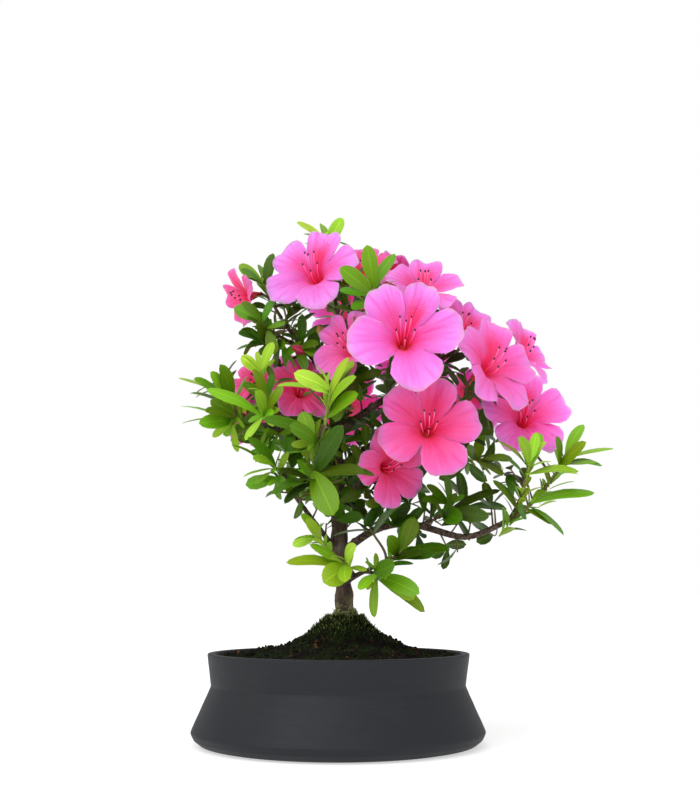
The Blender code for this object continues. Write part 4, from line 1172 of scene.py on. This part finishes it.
def make_soil(finish):
    """The mound as rings from the trunk's hole out to the pot's wall, then down the wall and under."""
    turns = np.arange(SOIL_TURNS) * 2 * math.pi / SOIL_TURNS
    reach = np.linspace(0, 1, SOIL_ROWS)[:, None]
    first, last = MOUND[0][0], POT_INSIDE[1][0] - 0.4
    radius = first + (last - first) * reach
    shift = TRUNK_HOLE_CENTRE[0] * (1 - reach)
    place = np.stack([radius * np.sin(turns) + shift, -radius * np.cos(turns)], axis=-1)
    top = np.concatenate([place, mound_height(place)[..., None]], axis=-1)
    hole = top[0].copy()
    hole[:, 2] = TRUNK_SINK
    pit = np.broadcast_to((TRUNK_HOLE_CENTRE[0], 0.0, TRUNK_SINK), hole.shape)
    lower = [(POT_INSIDE[1][0] - 0.5, POT_INSIDE[1][1]), (POT_INSIDE[2][0] - 0.9, POT_INSIDE[2][1] + 0.3),
             (0, POT_INSIDE[2][1] + 0.3)]
    skin = Skin()
    skin.add(np.concatenate([pit[None], hole[None], top, lathe(lower, SOIL_TURNS)]))
    piece = skin.piece("soil_mound", [finish])
    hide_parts("soil")


def make_moss(finish):
    """Moss blades: three-sided spikes, long and pale at the trunk's foot, short and dark further out."""
    draw = np.random.default_rng(41)
    count = MOSS_BLADES
    out = MOSS_REACH[0] + MOSS_REACH[1] * draw.uniform(0, 1, count)**1.25
    turn = draw.uniform(0, 2 * math.pi, count)
    shift = (1 - smooth(out, 9.0, 70.0)) * TRUNK_HOLE_CENTRE[0]
    place = np.stack([out * np.sin(turn) + shift, -out * np.cos(turn)], axis=-1)
    flat = np.concatenate([place, np.zeros((count, 1))], axis=-1)
    near = 1 - smooth(out, 10.0, 30.0)
    patch = smooth(waves(flat, MOSS_PATCH, 42) + 1.2 * near, -0.5, 0.5)
    keep = draw.uniform(0, 1, count) < patch
    place, near, out, turn = place[keep], near[keep], out[keep], turn[keep]
    count = len(place)
    root = np.concatenate([place, mound_height(place)[:, None] - MOSS_SINK], axis=-1)
    slope = np.stack([np.sin(turn), -np.cos(turn), 0 * turn], axis=-1)
    lean = draw.normal(0, MOSS_LEAN, size=(count, 3)) + slope * 0.5 * near[:, None]
    lean[:, 2] = 1.0
    length = draw.uniform(*MOSS_LENGTH, count) * (1 + 1.1 * near * draw.uniform(0, 1, count))
    tip = root + unit(lean) * length[:, None]
    bend = (root + tip) / 2 + draw.normal(0, 0.2, size=(count, 3))
    paths = np.stack([root, bend, tip], axis=1)
    radii = np.broadcast_to(MOSS_RADII, (count, 3))
    skin = Skin()
    tone = draw.uniform(0, 1, count) * 0.55 + 0.45 * near * draw.uniform(0, 1, count)
    skin.add(tubes(paths, radii, 3), tone=tone[:, None, None])
    add_lichen(skin, draw)
    piece = skin.piece("moss", [finish])


def add_lichen(skin, draw):
    """Pale threads and tufts that climb the trunk's foot, longer and more tangled than the moss."""
    turn = draw.uniform(0, 2 * math.pi, LICHEN_THREADS)
    low, high = LICHEN_HEIGHTS
    height = low + (high - low) * draw.beta(1.1, 2.2, LICHEN_THREADS)
    heights = [point[2] for point in TRUNK]
    radius = np.interp(height, heights, TRUNK_RADII)
    foot = smooth(-height, -high, -low)
    radius = radius + LICHEN_SPREAD * foot * draw.uniform(0, 1, LICHEN_THREADS)
    out = np.stack([np.sin(turn), -np.cos(turn), 0 * turn], axis=-1)
    root = out * radius[:, None] * LICHEN_SINK
    root[:, 0] += TRUNK_HOLE_CENTRE[0]
    root[:, 2] = height
    way = unit(out * 0.7 + draw.normal(0, LICHEN_TANGLE, size=(LICHEN_THREADS, 3)))
    length = draw.uniform(*LICHEN_LENGTH, LICHEN_THREADS)
    length = length * (1 + 1.4 * (draw.uniform(0, 1, LICHEN_THREADS) > 0.93))
    tip = root + way * length[:, None] + draw.normal(0, 0.3, size=(LICHEN_THREADS, 3))
    bend = (root + tip) / 2 + draw.normal(0, LICHEN_BEND, size=(LICHEN_THREADS, 3))
    radii = np.broadcast_to(LICHEN_RADII, (LICHEN_THREADS, 3))
    tone = 0.62 + 0.38 * draw.uniform(0, 1, LICHEN_THREADS)
    skin.add(tubes(np.stack([root, bend, tip], axis=1), radii, 3), tone=tone[:, None, None])


def make_grit(finish):
    """Crumbs of baked clay and bark on the soil: small balls, each squeezed and turned its own way."""
    draw = np.random.default_rng(51)
    count = GRIT_COUNT
    out = GRIT_REACH[0] + GRIT_REACH[1] * draw.uniform(0, 1, count)**0.7
    turn = draw.uniform(0, 2 * math.pi, count)
    place = np.stack([out * np.sin(turn), -out * np.cos(turn)], axis=-1)
    size = draw.uniform(*GRIT_SIZE, count) * (1 + 0.8 * (draw.uniform(0, 1, count) > 0.93))
    centre = np.concatenate([place, (mound_height(place) + 0.2 * size)[:, None]], axis=-1)
    tilt = np.linspace(0, math.pi, GRIT_ROWS)[:, None]
    around = np.arange(GRIT_SIDES) * 2 * math.pi / GRIT_SIDES
    ball = np.stack([np.sin(tilt) * np.cos(around), np.sin(tilt) * np.sin(around),
                     np.broadcast_to(np.cos(tilt), (GRIT_ROWS, GRIT_SIDES))], axis=-1)
    squeeze = draw.uniform(*GRIT_SQUEEZE, size=(count, 1, 1, 3))
    turns = np.array([Matrix.Rotation(angle, 3, "X") @ Matrix.Rotation(angle * 2.3, 3, "Y")
                      for angle in draw.uniform(0, 2 * math.pi, count)])
    lumps = np.einsum("nij,nrcj->nrci", turns, ball[None] * squeeze)
    skin = Skin()
    skin.add(centre[:, None, None] + lumps * size[:, None, None, None],
             tone=draw.uniform(0, 1, size=(count, 1, 1)))
    piece = skin.piece("grit", [finish])


# Finishes


def linear(hex_colour):
    """An sRGB hex colour as linear red, green, blue and alpha."""
    parts = [int(hex_colour[i:i + 2], 16) / 255 for i in (1, 3, 5)]
    return (*[p / 12.92 if p <= 0.04045 else ((p + 0.055) / 1.055)**2.4 for p in parts], 1)


def add_node(tree, kind, inputs=None, stops=None, out=0, **settings):
    """Adds a node and gives one of its outputs. Each input is a value or an output, by its number or name.

    Stops are a ramp's places and colours. A MapRange takes the span from 1 to 2 into the span from 3 to 4.
    """
    made = tree.nodes.new("ShaderNode" + kind)
    for name, value in settings.items():
        setattr(made, name, value)
    for name, value in (inputs or {}).items():
        if isinstance(value, bpy.types.NodeSocket):
            tree.links.new(value, made.inputs[name])
        else:
            made.inputs[name].default_value = value
    if stops:
        elements = made.color_ramp.elements
        while len(elements) < len(stops):
            elements.new(0.5)
        for element, (place, colour) in zip(elements, stops):
            element.position = place
            element.color = linear(colour)
    return made.outputs[out]


def new_finish(name, **uniform):
    """A material whose shader holds what is the same all over, as two functions.

    The first adds a node to it. The second links outputs to the shader's sockets and gives the material.
    """
    finish = bpy.data.materials.new(name)
    finish.use_nodes = True
    tree = finish.node_tree
    shader = tree.nodes["Principled BSDF"]
    for socket, value in uniform.items():
        shader.inputs[socket.replace("_", " ")].default_value = value

    def varied(**outputs):
        for socket, output in outputs.items():
            tree.links.new(output, shader.inputs[socket.replace("_", " ")])
        return finish

    return partial(add_node, tree), varied


def surface_place(add):
    """The place on the mesh's own UV map, then its shares across and along the lobe, blade or thread."""
    place = add("UVMap", uv_map="surface")
    across, along, _ = add("SeparateXYZ", {0: place}).node.outputs
    return place, across, along


def from_middle(add, across):
    """How far a place is from the middle line, from 0 on it to a half at either edge."""
    middle = add("Math", {0: across, 1: 0.5}, operation="SUBTRACT")
    return add("Math", {0: middle}, operation="ABSOLUTE")


def petal_finish():
    """Azalea petal: lilac pink at the rim, coral in the throat, crimson dots on upper lobes; painted shade
    makes shaded blooms coral.
    """
    add, varied = new_finish("azalea_petal", Roughness=0.55, Sheen_Weight=0.08, Subsurface_Weight=0.75,
                             Subsurface_Scale=0.003, Subsurface_Radius=(1.0, 0.3, 0.5))
    place, across, along = surface_place(add)
    # Lilac pink for blooms in full light and coral for blooms in shade: painted light and shade, mixed by
    # each bloom's share
    lilac_in_light = add("ValToRGB", {0: along}, stops=(
        (0.03, "#F43A3C"), (0.10, "#FF4A8C"), (0.22, "#FF5AB6"), (0.50, "#FF72D4"), (0.97, "#FF92F2")))
    coral_in_shade = add("ValToRGB", {0: along}, stops=(
        (0.03, "#EC2A30"), (0.12, "#FC3060"), (0.40, "#FF387A"), (0.75, "#FF4A90"), (1.0, "#FF62AC")))
    warmth = add("Attribute", attribute_name="warmth", out="Fac")
    base = add("Mix", {0: warmth, 6: lilac_in_light, 7: coral_in_shade}, data_type="RGBA", out=2)
    # Veins fan out from the throat, about 1 mm apart where the lobe is widest
    stretch = add("VectorMath", {0: place, 1: (22.0, 1.6, 1.0)}, operation="MULTIPLY")
    veins = add("TexNoise", {"Vector": stretch, "Scale": 1.0, "Detail": 3.0})
    streak = add("MapRange", {0: veins, 1: 0.33, 2: 0.66, 3: 0.76, 4: 1.06})
    # Soft folds run the length of each lobe, a few millimetres apart, with painted shade in their hollows and
    # a faint painted highlight on their crests
    broad = add("VectorMath", {0: place, 1: (8.0, 2.0, 1.0)}, operation="MULTIPLY")
    folds = add("TexNoise", {"Vector": broad, "Scale": 1.0, "Detail": 2.0})
    fold_shade = add("MapRange", {0: folds, 1: 0.35, 2: 0.65, 3: 0.82, 4: 1.04})
    # The real veins and the painted fold shade both leave the red as it is, change the green in full and the
    # blue by half
    depth = add("Math", {0: streak, 1: fold_shade}, operation="MULTIPLY")
    half_veins_and_fold_shade = add("Math", {0: depth, 1: 0.5, 2: 0.5}, operation="MULTIPLY_ADD")
    veins_and_fold_shade = add("CombineXYZ", {0: 1.0, 1: depth, 2: half_veins_and_fold_shade})
    tinted = add("VectorMath", {0: base, 1: veins_and_fold_shade}, operation="MULTIPLY")
    # The crimson patch of the upper lobes: solid in the throat, then dots 0.9 mm apart that thin out
    dots = add("TexVoronoi", {"Vector": add("TexCoord", out="Object"), "Scale": 1100.0}, out="Distance")
    dot = add("MapRange", {0: dots, 1: 0.34, 2: 0.50, 3: 1.0, 4: 0.0})
    solid = add("MapRange", {0: along, 1: 0.40, 2: 0.72, 3: 0.92, 4: 0.25})
    dotted = add("Math", {0: dot, 1: solid}, operation="MAXIMUM")
    width = add("MapRange", {0: from_middle(add, across), 1: 0.20, 2: 0.46, 3: 1.0, 4: 0.0})
    reach = add("MapRange", {0: along, 1: 0.50, 2: 0.88, 3: 1.0, 4: 0.0})
    mask = add("Attribute", attribute_name="blotch", out="Fac")
    for part in (width, reach, dotted):
        mask = add("Math", {0: mask, 1: part}, operation="MULTIPLY")
    colour = add("Mix", {0: mask, 6: tinted, 7: linear("#FA1468")}, data_type="RGBA", out=2)
    relief = add("Math", {0: veins, 1: 0.3, 2: folds}, operation="MULTIPLY_ADD")
    bump = add("Bump", {"Height": relief, "Distance": 0.0022, "Strength": 0.55})
    return varied(Base_Color=colour, Normal=bump)


def leaf_finish():
    """Azalea leaf: waxy blade, bright yellow-green when young and blackish green when old, paler below."""
    add, varied = new_finish("azalea_leaf", Roughness=0.42, Specular_IOR_Level=0.22, Subsurface_Weight=0.08,
                             Subsurface_Scale=0.0015, Subsurface_Radius=(0.4, 1.0, 0.15))
    _, across, along = surface_place(add)
    age, tint, under = [add("Attribute", attribute_name=name, out="Fac")
                        for name in ("age", "tint", "under")]
    shift = add("MapRange", {0: tint, 3: -0.06, 4: 0.06})
    older = add("Math", {0: age, 1: shift}, operation="ADD")
    green = add("ValToRGB", {0: older}, stops=(
        (0.0, "#B4DC44"), (0.22, "#86C226"), (0.48, "#52940C"), (0.74, "#2E6002"), (1.0, "#183800")))
    olive = add("ValToRGB", {0: older}, stops=(
        (0.0, "#CEE04E"), (0.22, "#A8C42C"), (0.48, "#769410"), (0.74, "#4A6202"), (1.0, "#283A00")))
    blade = add("Mix", {0: tint, 6: green, 7: olive}, data_type="RGBA", out=2)
    pale = add("Mix", {0: 0.25, 6: blade, 7: linear("#8EAA50")}, data_type="RGBA", out=2)
    sides = add("Mix", {0: under, 6: blade, 7: pale}, data_type="RGBA", out=2)
    aside = from_middle(add, across)
    rib = add("MapRange", {0: aside, 1: 0.012, 2: 0.04, 3: 1.4, 4: 1.0})
    # Side veins leave the midrib at a slant, nine or ten along a leaf
    slant = add("Math", {0: aside, 1: -0.55, 2: along}, operation="MULTIPLY_ADD")
    comb = add("Math", {0: slant, 1: 60.0}, operation="MULTIPLY")
    veins = add("Math", {0: comb}, operation="SINE")
    line = add("MapRange", {0: veins, 1: 0.60, 2: 1.0, 3: 1.0, 4: 1.10})
    lighter = add("Math", {0: rib, 1: line}, operation="MULTIPLY")
    veined = add("VectorMath", {0: sides, 3: lighter}, operation="SCALE")
    bump = add("Bump", {"Height": veins, "Distance": 0.0002, "Strength": 0.15})
    return varied(Base_Color=veined, Normal=bump)


def stem_finish():
    """Green azalea shoot: yellow-green with red-brown bristles when young, brown where it turns to wood."""
    add, varied = new_finish("azalea_shoot", Roughness=0.55)
    age = add("Attribute", attribute_name="age", out="Fac")
    skin = add("ValToRGB", {0: age}, stops=(
        (0.0, "#A3B84A"), (0.35, "#8C9638"), (0.65, "#6E6232"), (1.0, "#4A3A2A")))
    grain = add("TexNoise", {"Vector": add("TexCoord", out="Object"), "Scale": 900.0, "Detail": 3.0})
    bristles = add("MapRange", {0: grain, 1: 0.45, 2: 0.65, 3: 0.0, 4: 0.35})
    colour = add("Mix", {0: bristles, 6: skin, 7: linear("#5E3A22")}, data_type="RGBA", out=2)
    bump = add("Bump", {"Height": grain, "Distance": 0.0002, "Strength": 0.5})
    return varied(Base_Color=colour, Normal=bump)


def filament_finish():
    """Filament: translucent crimson pink, paler towards the anther."""
    add, varied = new_finish("azalea_filament", Roughness=0.45, Subsurface_Weight=0.2, Subsurface_Scale=0.001)
    _, _, along = surface_place(add)
    colour = add("ValToRGB", {0: along}, stops=((0.2, "#F03C6E"), (0.65, "#FF66AA"), (1.0, "#FFA4D2")))
    return varied(Base_Color=colour)


def anther_finish():
    """Anther: a dry purple-brown sac with paler pollen dust."""
    add, varied = new_finish("azalea_anther", Roughness=0.8)
    dust = add("TexNoise", {"Vector": add("TexCoord", out="Object"), "Scale": 2500.0})
    colour = add("ValToRGB", {0: dust}, stops=((0.40, "#240814"), (0.70, "#7A3448")))
    return varied(Base_Color=colour)


def bud_finish():
    """Azalea bud: wrapped crimson petals with painted shade in the grooves between them, or green scales
    edged in orange.
    """
    add, varied = new_finish("azalea_bud", Roughness=0.45, Sheen_Weight=0.15)
    _, across, along = surface_place(add)
    # The red darkens from the ridges down into the grooves: painted shade
    red = add("ValToRGB", {0: across}, stops=((0.0, "#6E0A24"), (0.4, "#B41440"), (1.0, "#D82A5C")))
    green = add("ValToRGB", {0: along}, stops=((0.0, "#7C9A34"), (0.6, "#A89A3C"), (1.0, "#C8603A")))
    kind = add("Attribute", attribute_name="green", out="Fac")
    colour = add("Mix", {0: kind, 6: red, 7: green}, data_type="RGBA", out=2)
    return varied(Base_Color=colour)


def bark_finish():
    """Azalea bark: dry brown-grey flakes, in strips on the trunk, with pale green lichen at its foot."""
    add, varied = new_finish("azalea_bark", Roughness=0.9)
    place = add("TexCoord", out="Object")
    # On the trunk, strips six times as long as they are wide, and on the limbs crumbs
    strip = add("Mapping", {"Vector": place, "Scale": (1.0, 1.0, STRIP_STRETCH)})
    flakes = add("TexNoise", {"Vector": strip, "Scale": 420.0, "Detail": 6.0, "Roughness": 0.65})
    crumbs = add("TexNoise", {"Vector": place, "Scale": 520.0, "Detail": 5.0, "Roughness": 0.6})
    upright = add("Attribute", attribute_name="upright", out="Fac")
    relief = add("Mix", {0: upright, 2: crumbs, 3: flakes})
    patches = add("TexNoise", {"Vector": place, "Scale": 110.0, "Detail": 3.0})
    wood = add("ValToRGB", {0: relief}, stops=(
        (0.30, "#1E1611"), (0.48, "#43332A"), (0.62, "#6A5646"), (0.80, "#958470")))
    grey = add("MapRange", {0: patches, 1: 0.50, 2: 0.68, 3: 0.0, 4: 0.55})
    weathered = add("Mix", {0: grey, 6: wood, 7: linear("#77705F")}, data_type="RGBA", out=2)
    # Specks of lichen, which thin out from a height of 70 mm to none at 84 mm
    height = add("SeparateXYZ", {"Vector": place}, out=2)
    foot = add("MapRange", {0: height, 1: 0.070, 2: 0.084, 3: 1.0, 4: 0.0})
    specks = add("TexNoise", {"Vector": place, "Scale": 260.0, "Detail": 5.0})
    speck = add("MapRange", {0: specks, 1: 0.46, 2: 0.58, 3: 0.0, 4: 0.9})
    lichen = add("Math", {0: foot, 1: speck}, operation="MULTIPLY")
    colour = add("Mix", {0: lichen, 6: weathered, 7: linear("#9CA660")}, data_type="RGBA", out=2)
    bump = add("Bump", {"Height": relief, "Distance": 0.0008, "Strength": 0.8})
    return varied(Base_Color=colour, Normal=bump)


def soil_finish():
    """Bonsai soil: damp black-brown crumb with a skin of dark green moss in patches."""
    add, varied = new_finish("bonsai_soil", Roughness=0.95, Specular_IOR_Level=0.1)
    place = add("TexCoord", out="Object")
    crumb = add("TexNoise", {"Vector": place, "Scale": 500.0, "Detail": 6.0, "Roughness": 0.7})
    earth = add("ValToRGB", {0: crumb}, stops=((0.35, "#050403"), (0.55, "#0D0A05"), (0.75, "#1E160C")))
    cover = add("TexNoise", {"Vector": place, "Scale": 70.0, "Detail": 4.0})
    mask = add("MapRange", {0: cover, 1: 0.46, 2: 0.58, 3: 0.0, 4: 0.8})
    green = add("ValToRGB", {0: crumb}, stops=((0.35, "#0A1204"), (0.60, "#1C2C08"), (0.80, "#465C16")))
    colour = add("Mix", {0: mask, 6: earth, 7: green}, data_type="RGBA", out=2)
    bump = add("Bump", {"Height": crumb, "Distance": 0.0012, "Strength": 0.9})
    return varied(Base_Color=colour, Normal=bump)


def moss_finish():
    """Moss: dull dark green blades, some straw-pale and some yellow-green."""
    add, varied = new_finish("cushion_moss", Roughness=0.85, Specular_IOR_Level=0.2)
    tone = add("Attribute", attribute_name="tone", out="Fac")
    colour = add("ValToRGB", {0: tone}, stops=(
        (0.0, "#080D03"), (0.35, "#151F05"), (0.60, "#2E3E10"), (0.80, "#748240"), (1.0, "#CBD2A0")))
    return varied(Base_Color=colour)


def grit_finish():
    """Baked clay grit and bark crumb: black-brown to orange, dusty."""
    add, varied = new_finish("clay_grit", Roughness=0.9, Specular_IOR_Level=0.15)
    tone = add("Attribute", attribute_name="tone", out="Fac")
    dust = add("TexNoise", {"Vector": add("TexCoord", out="Object"), "Scale": 1500.0, "Detail": 4.0})
    lump = add("ValToRGB", {0: tone}, stops=(
        (0.0, "#080604"), (0.75, "#18110B"), (0.95, "#3A2415"), (1.0, "#6E4829")))
    shade = add("MapRange", {0: dust, 3: 0.6, 4: 1.3})
    return varied(Base_Color=add("VectorMath", {0: lump, 3: shade}, operation="SCALE"))


def stoneware_finish():
    """Unglazed stoneware: matt blue-grey clay with fine turning lines round it and faint mottling."""
    add, varied = new_finish("unglazed_stoneware", Roughness=0.62, Specular_IOR_Level=0.28)
    place = add("TexCoord", out="Object")
    # Turning lines about 1 mm apart, drawn coarser than the real ones so they show
    line_place = add("Mapping", {"Vector": place, "Scale": (0.02, 0.02, 1.0)})
    lines = add("TexNoise", {"Vector": line_place, "Scale": 900.0, "Detail": 4.0, "Roughness": 0.6})
    clouds = add("TexNoise", {"Vector": place, "Scale": 28.0, "Detail": 4.0})
    grain = add("TexNoise", {"Vector": place, "Scale": 1600.0, "Detail": 2.0})
    clay = add("ValToRGB", {0: clouds}, stops=((0.30, "#171A1F"), (0.55, "#1C1E23"), (0.75, "#222326")))
    streak = add("MapRange", {0: lines, 1: 0.3, 2: 0.7, 3: 0.88, 4: 1.10})
    speck = add("MapRange", {0: grain, 1: 0.3, 2: 0.7, 3: 0.92, 4: 1.08})
    shade = add("Math", {0: streak, 1: speck}, operation="MULTIPLY")
    colour = add("VectorMath", {0: clay, 3: shade}, operation="SCALE")
    rough = add("MapRange", {0: clouds, 1: 0.3, 2: 0.7, 3: 0.54, 4: 0.68})
    bump = add("Bump", {"Height": lines, "Distance": 0.0004, "Strength": 0.5})
    return varied(Base_Color=colour, Roughness=rough, Normal=bump)


# Studio


def make_floor():
    """A pale disc far wider than the view."""
    mesh = bpy.data.meshes.new("floor")
    turns = np.arange(FLOOR_SIDES) * 2 * math.pi / FLOOR_SIDES
    points = np.stack([np.sin(turns), np.cos(turns), 0 * turns], axis=-1) * FLOOR_RADIUS
    mesh.from_pydata(points.tolist(), [], [tuple(reversed(range(FLOOR_SIDES)))])
    floor = bpy.data.objects.new("floor", mesh)
    bpy.context.scene.collection.objects.link(floor)
    _, varied = new_finish("studio_paper", Roughness=0.9, Specular_IOR_Level=0.0,
                           Base_Color=linear("#CDCDCD"), Emission_Color=linear("#FFFFFF"),
                           Emission_Strength=FLOOR_GLOW)
    mesh.materials.append(varied())


def add_light(name, kind, place, strength):
    """A light that shines from its place at the crown."""
    lamp = bpy.data.lights.new(name, kind)
    lamp.energy = strength
    light = bpy.data.objects.new(name, lamp)
    light.location = place
    light.rotation_euler = (Vector(LIGHT_AIM) - Vector(place)).to_track_quat("-Z", "Y").to_euler()
    bpy.context.scene.collection.objects.link(light)
    return lamp


def make_studio():
    """White surroundings that light softly, a large light above the front left and a weak one right."""
    make_floor()
    world = bpy.data.worlds.new("studio")
    world.use_nodes = True
    sky = world.node_tree.nodes["Background"]
    sky.inputs["Color"].default_value = (1, 1, 1, 1)
    seen = add_node(world.node_tree, "LightPath", out="Is Camera Ray")
    strength = add_node(world.node_tree, "MapRange", {0: seen, 3: WORLD_LIGHT, 4: WORLD_SEEN})
    world.node_tree.links.new(strength, sky.inputs["Strength"])
    bpy.context.scene.world = world
    key = add_light("key", "SUN", KEY_PLACE, KEY_STRENGTH)
    key.angle = KEY_SPREAD
    fill = add_light("fill", "AREA", FILL_PLACE, FILL_POWER)
    fill.shape = "DISK"
    fill.size = FILL_SIZE
    bpy.context.scene.view_settings.view_transform = "Standard"


def make_camera():
    lens = bpy.data.cameras.new("camera")
    lens.lens = LENS
    lens.sensor_width = SENSOR
    lens.clip_start = 0.01
    camera = bpy.data.objects.new("camera", lens)
    camera.location = CAMERA_PLACE
    camera.rotation_euler = (math.radians(CAMERA_PITCH), 0, 0)
    bpy.context.scene.collection.objects.link(camera)
    bpy.context.scene.camera = camera


def build():
    limbs = limb_curves()
    sprays = {spray: spray_curves(spray, limbs) for spray in SPRAYS}
    leafy = [leaf_finish(), stem_finish()]
    bark = bark_finish()
    trees = node_trees()
    for spray, curves in sprays.items():
        make_spray(spray, curves, leafy, trees)
    make_inner_leaves(limbs, sprays, leafy, trees)
    flower = [petal_finish(), filament_finish(), anther_finish()]
    for letter in BLOOMS:
        make_flower(letter, flower)
    bud = bud_finish()
    for name in BUDS:
        make_bud(name, bud)
    make_wood(limbs, sprays, bark)
    make_pot(stoneware_finish())
    make_soil(soil_finish())
    make_moss(moss_finish())
    make_grit(grit_finish())


build()
make_studio()
make_camera()
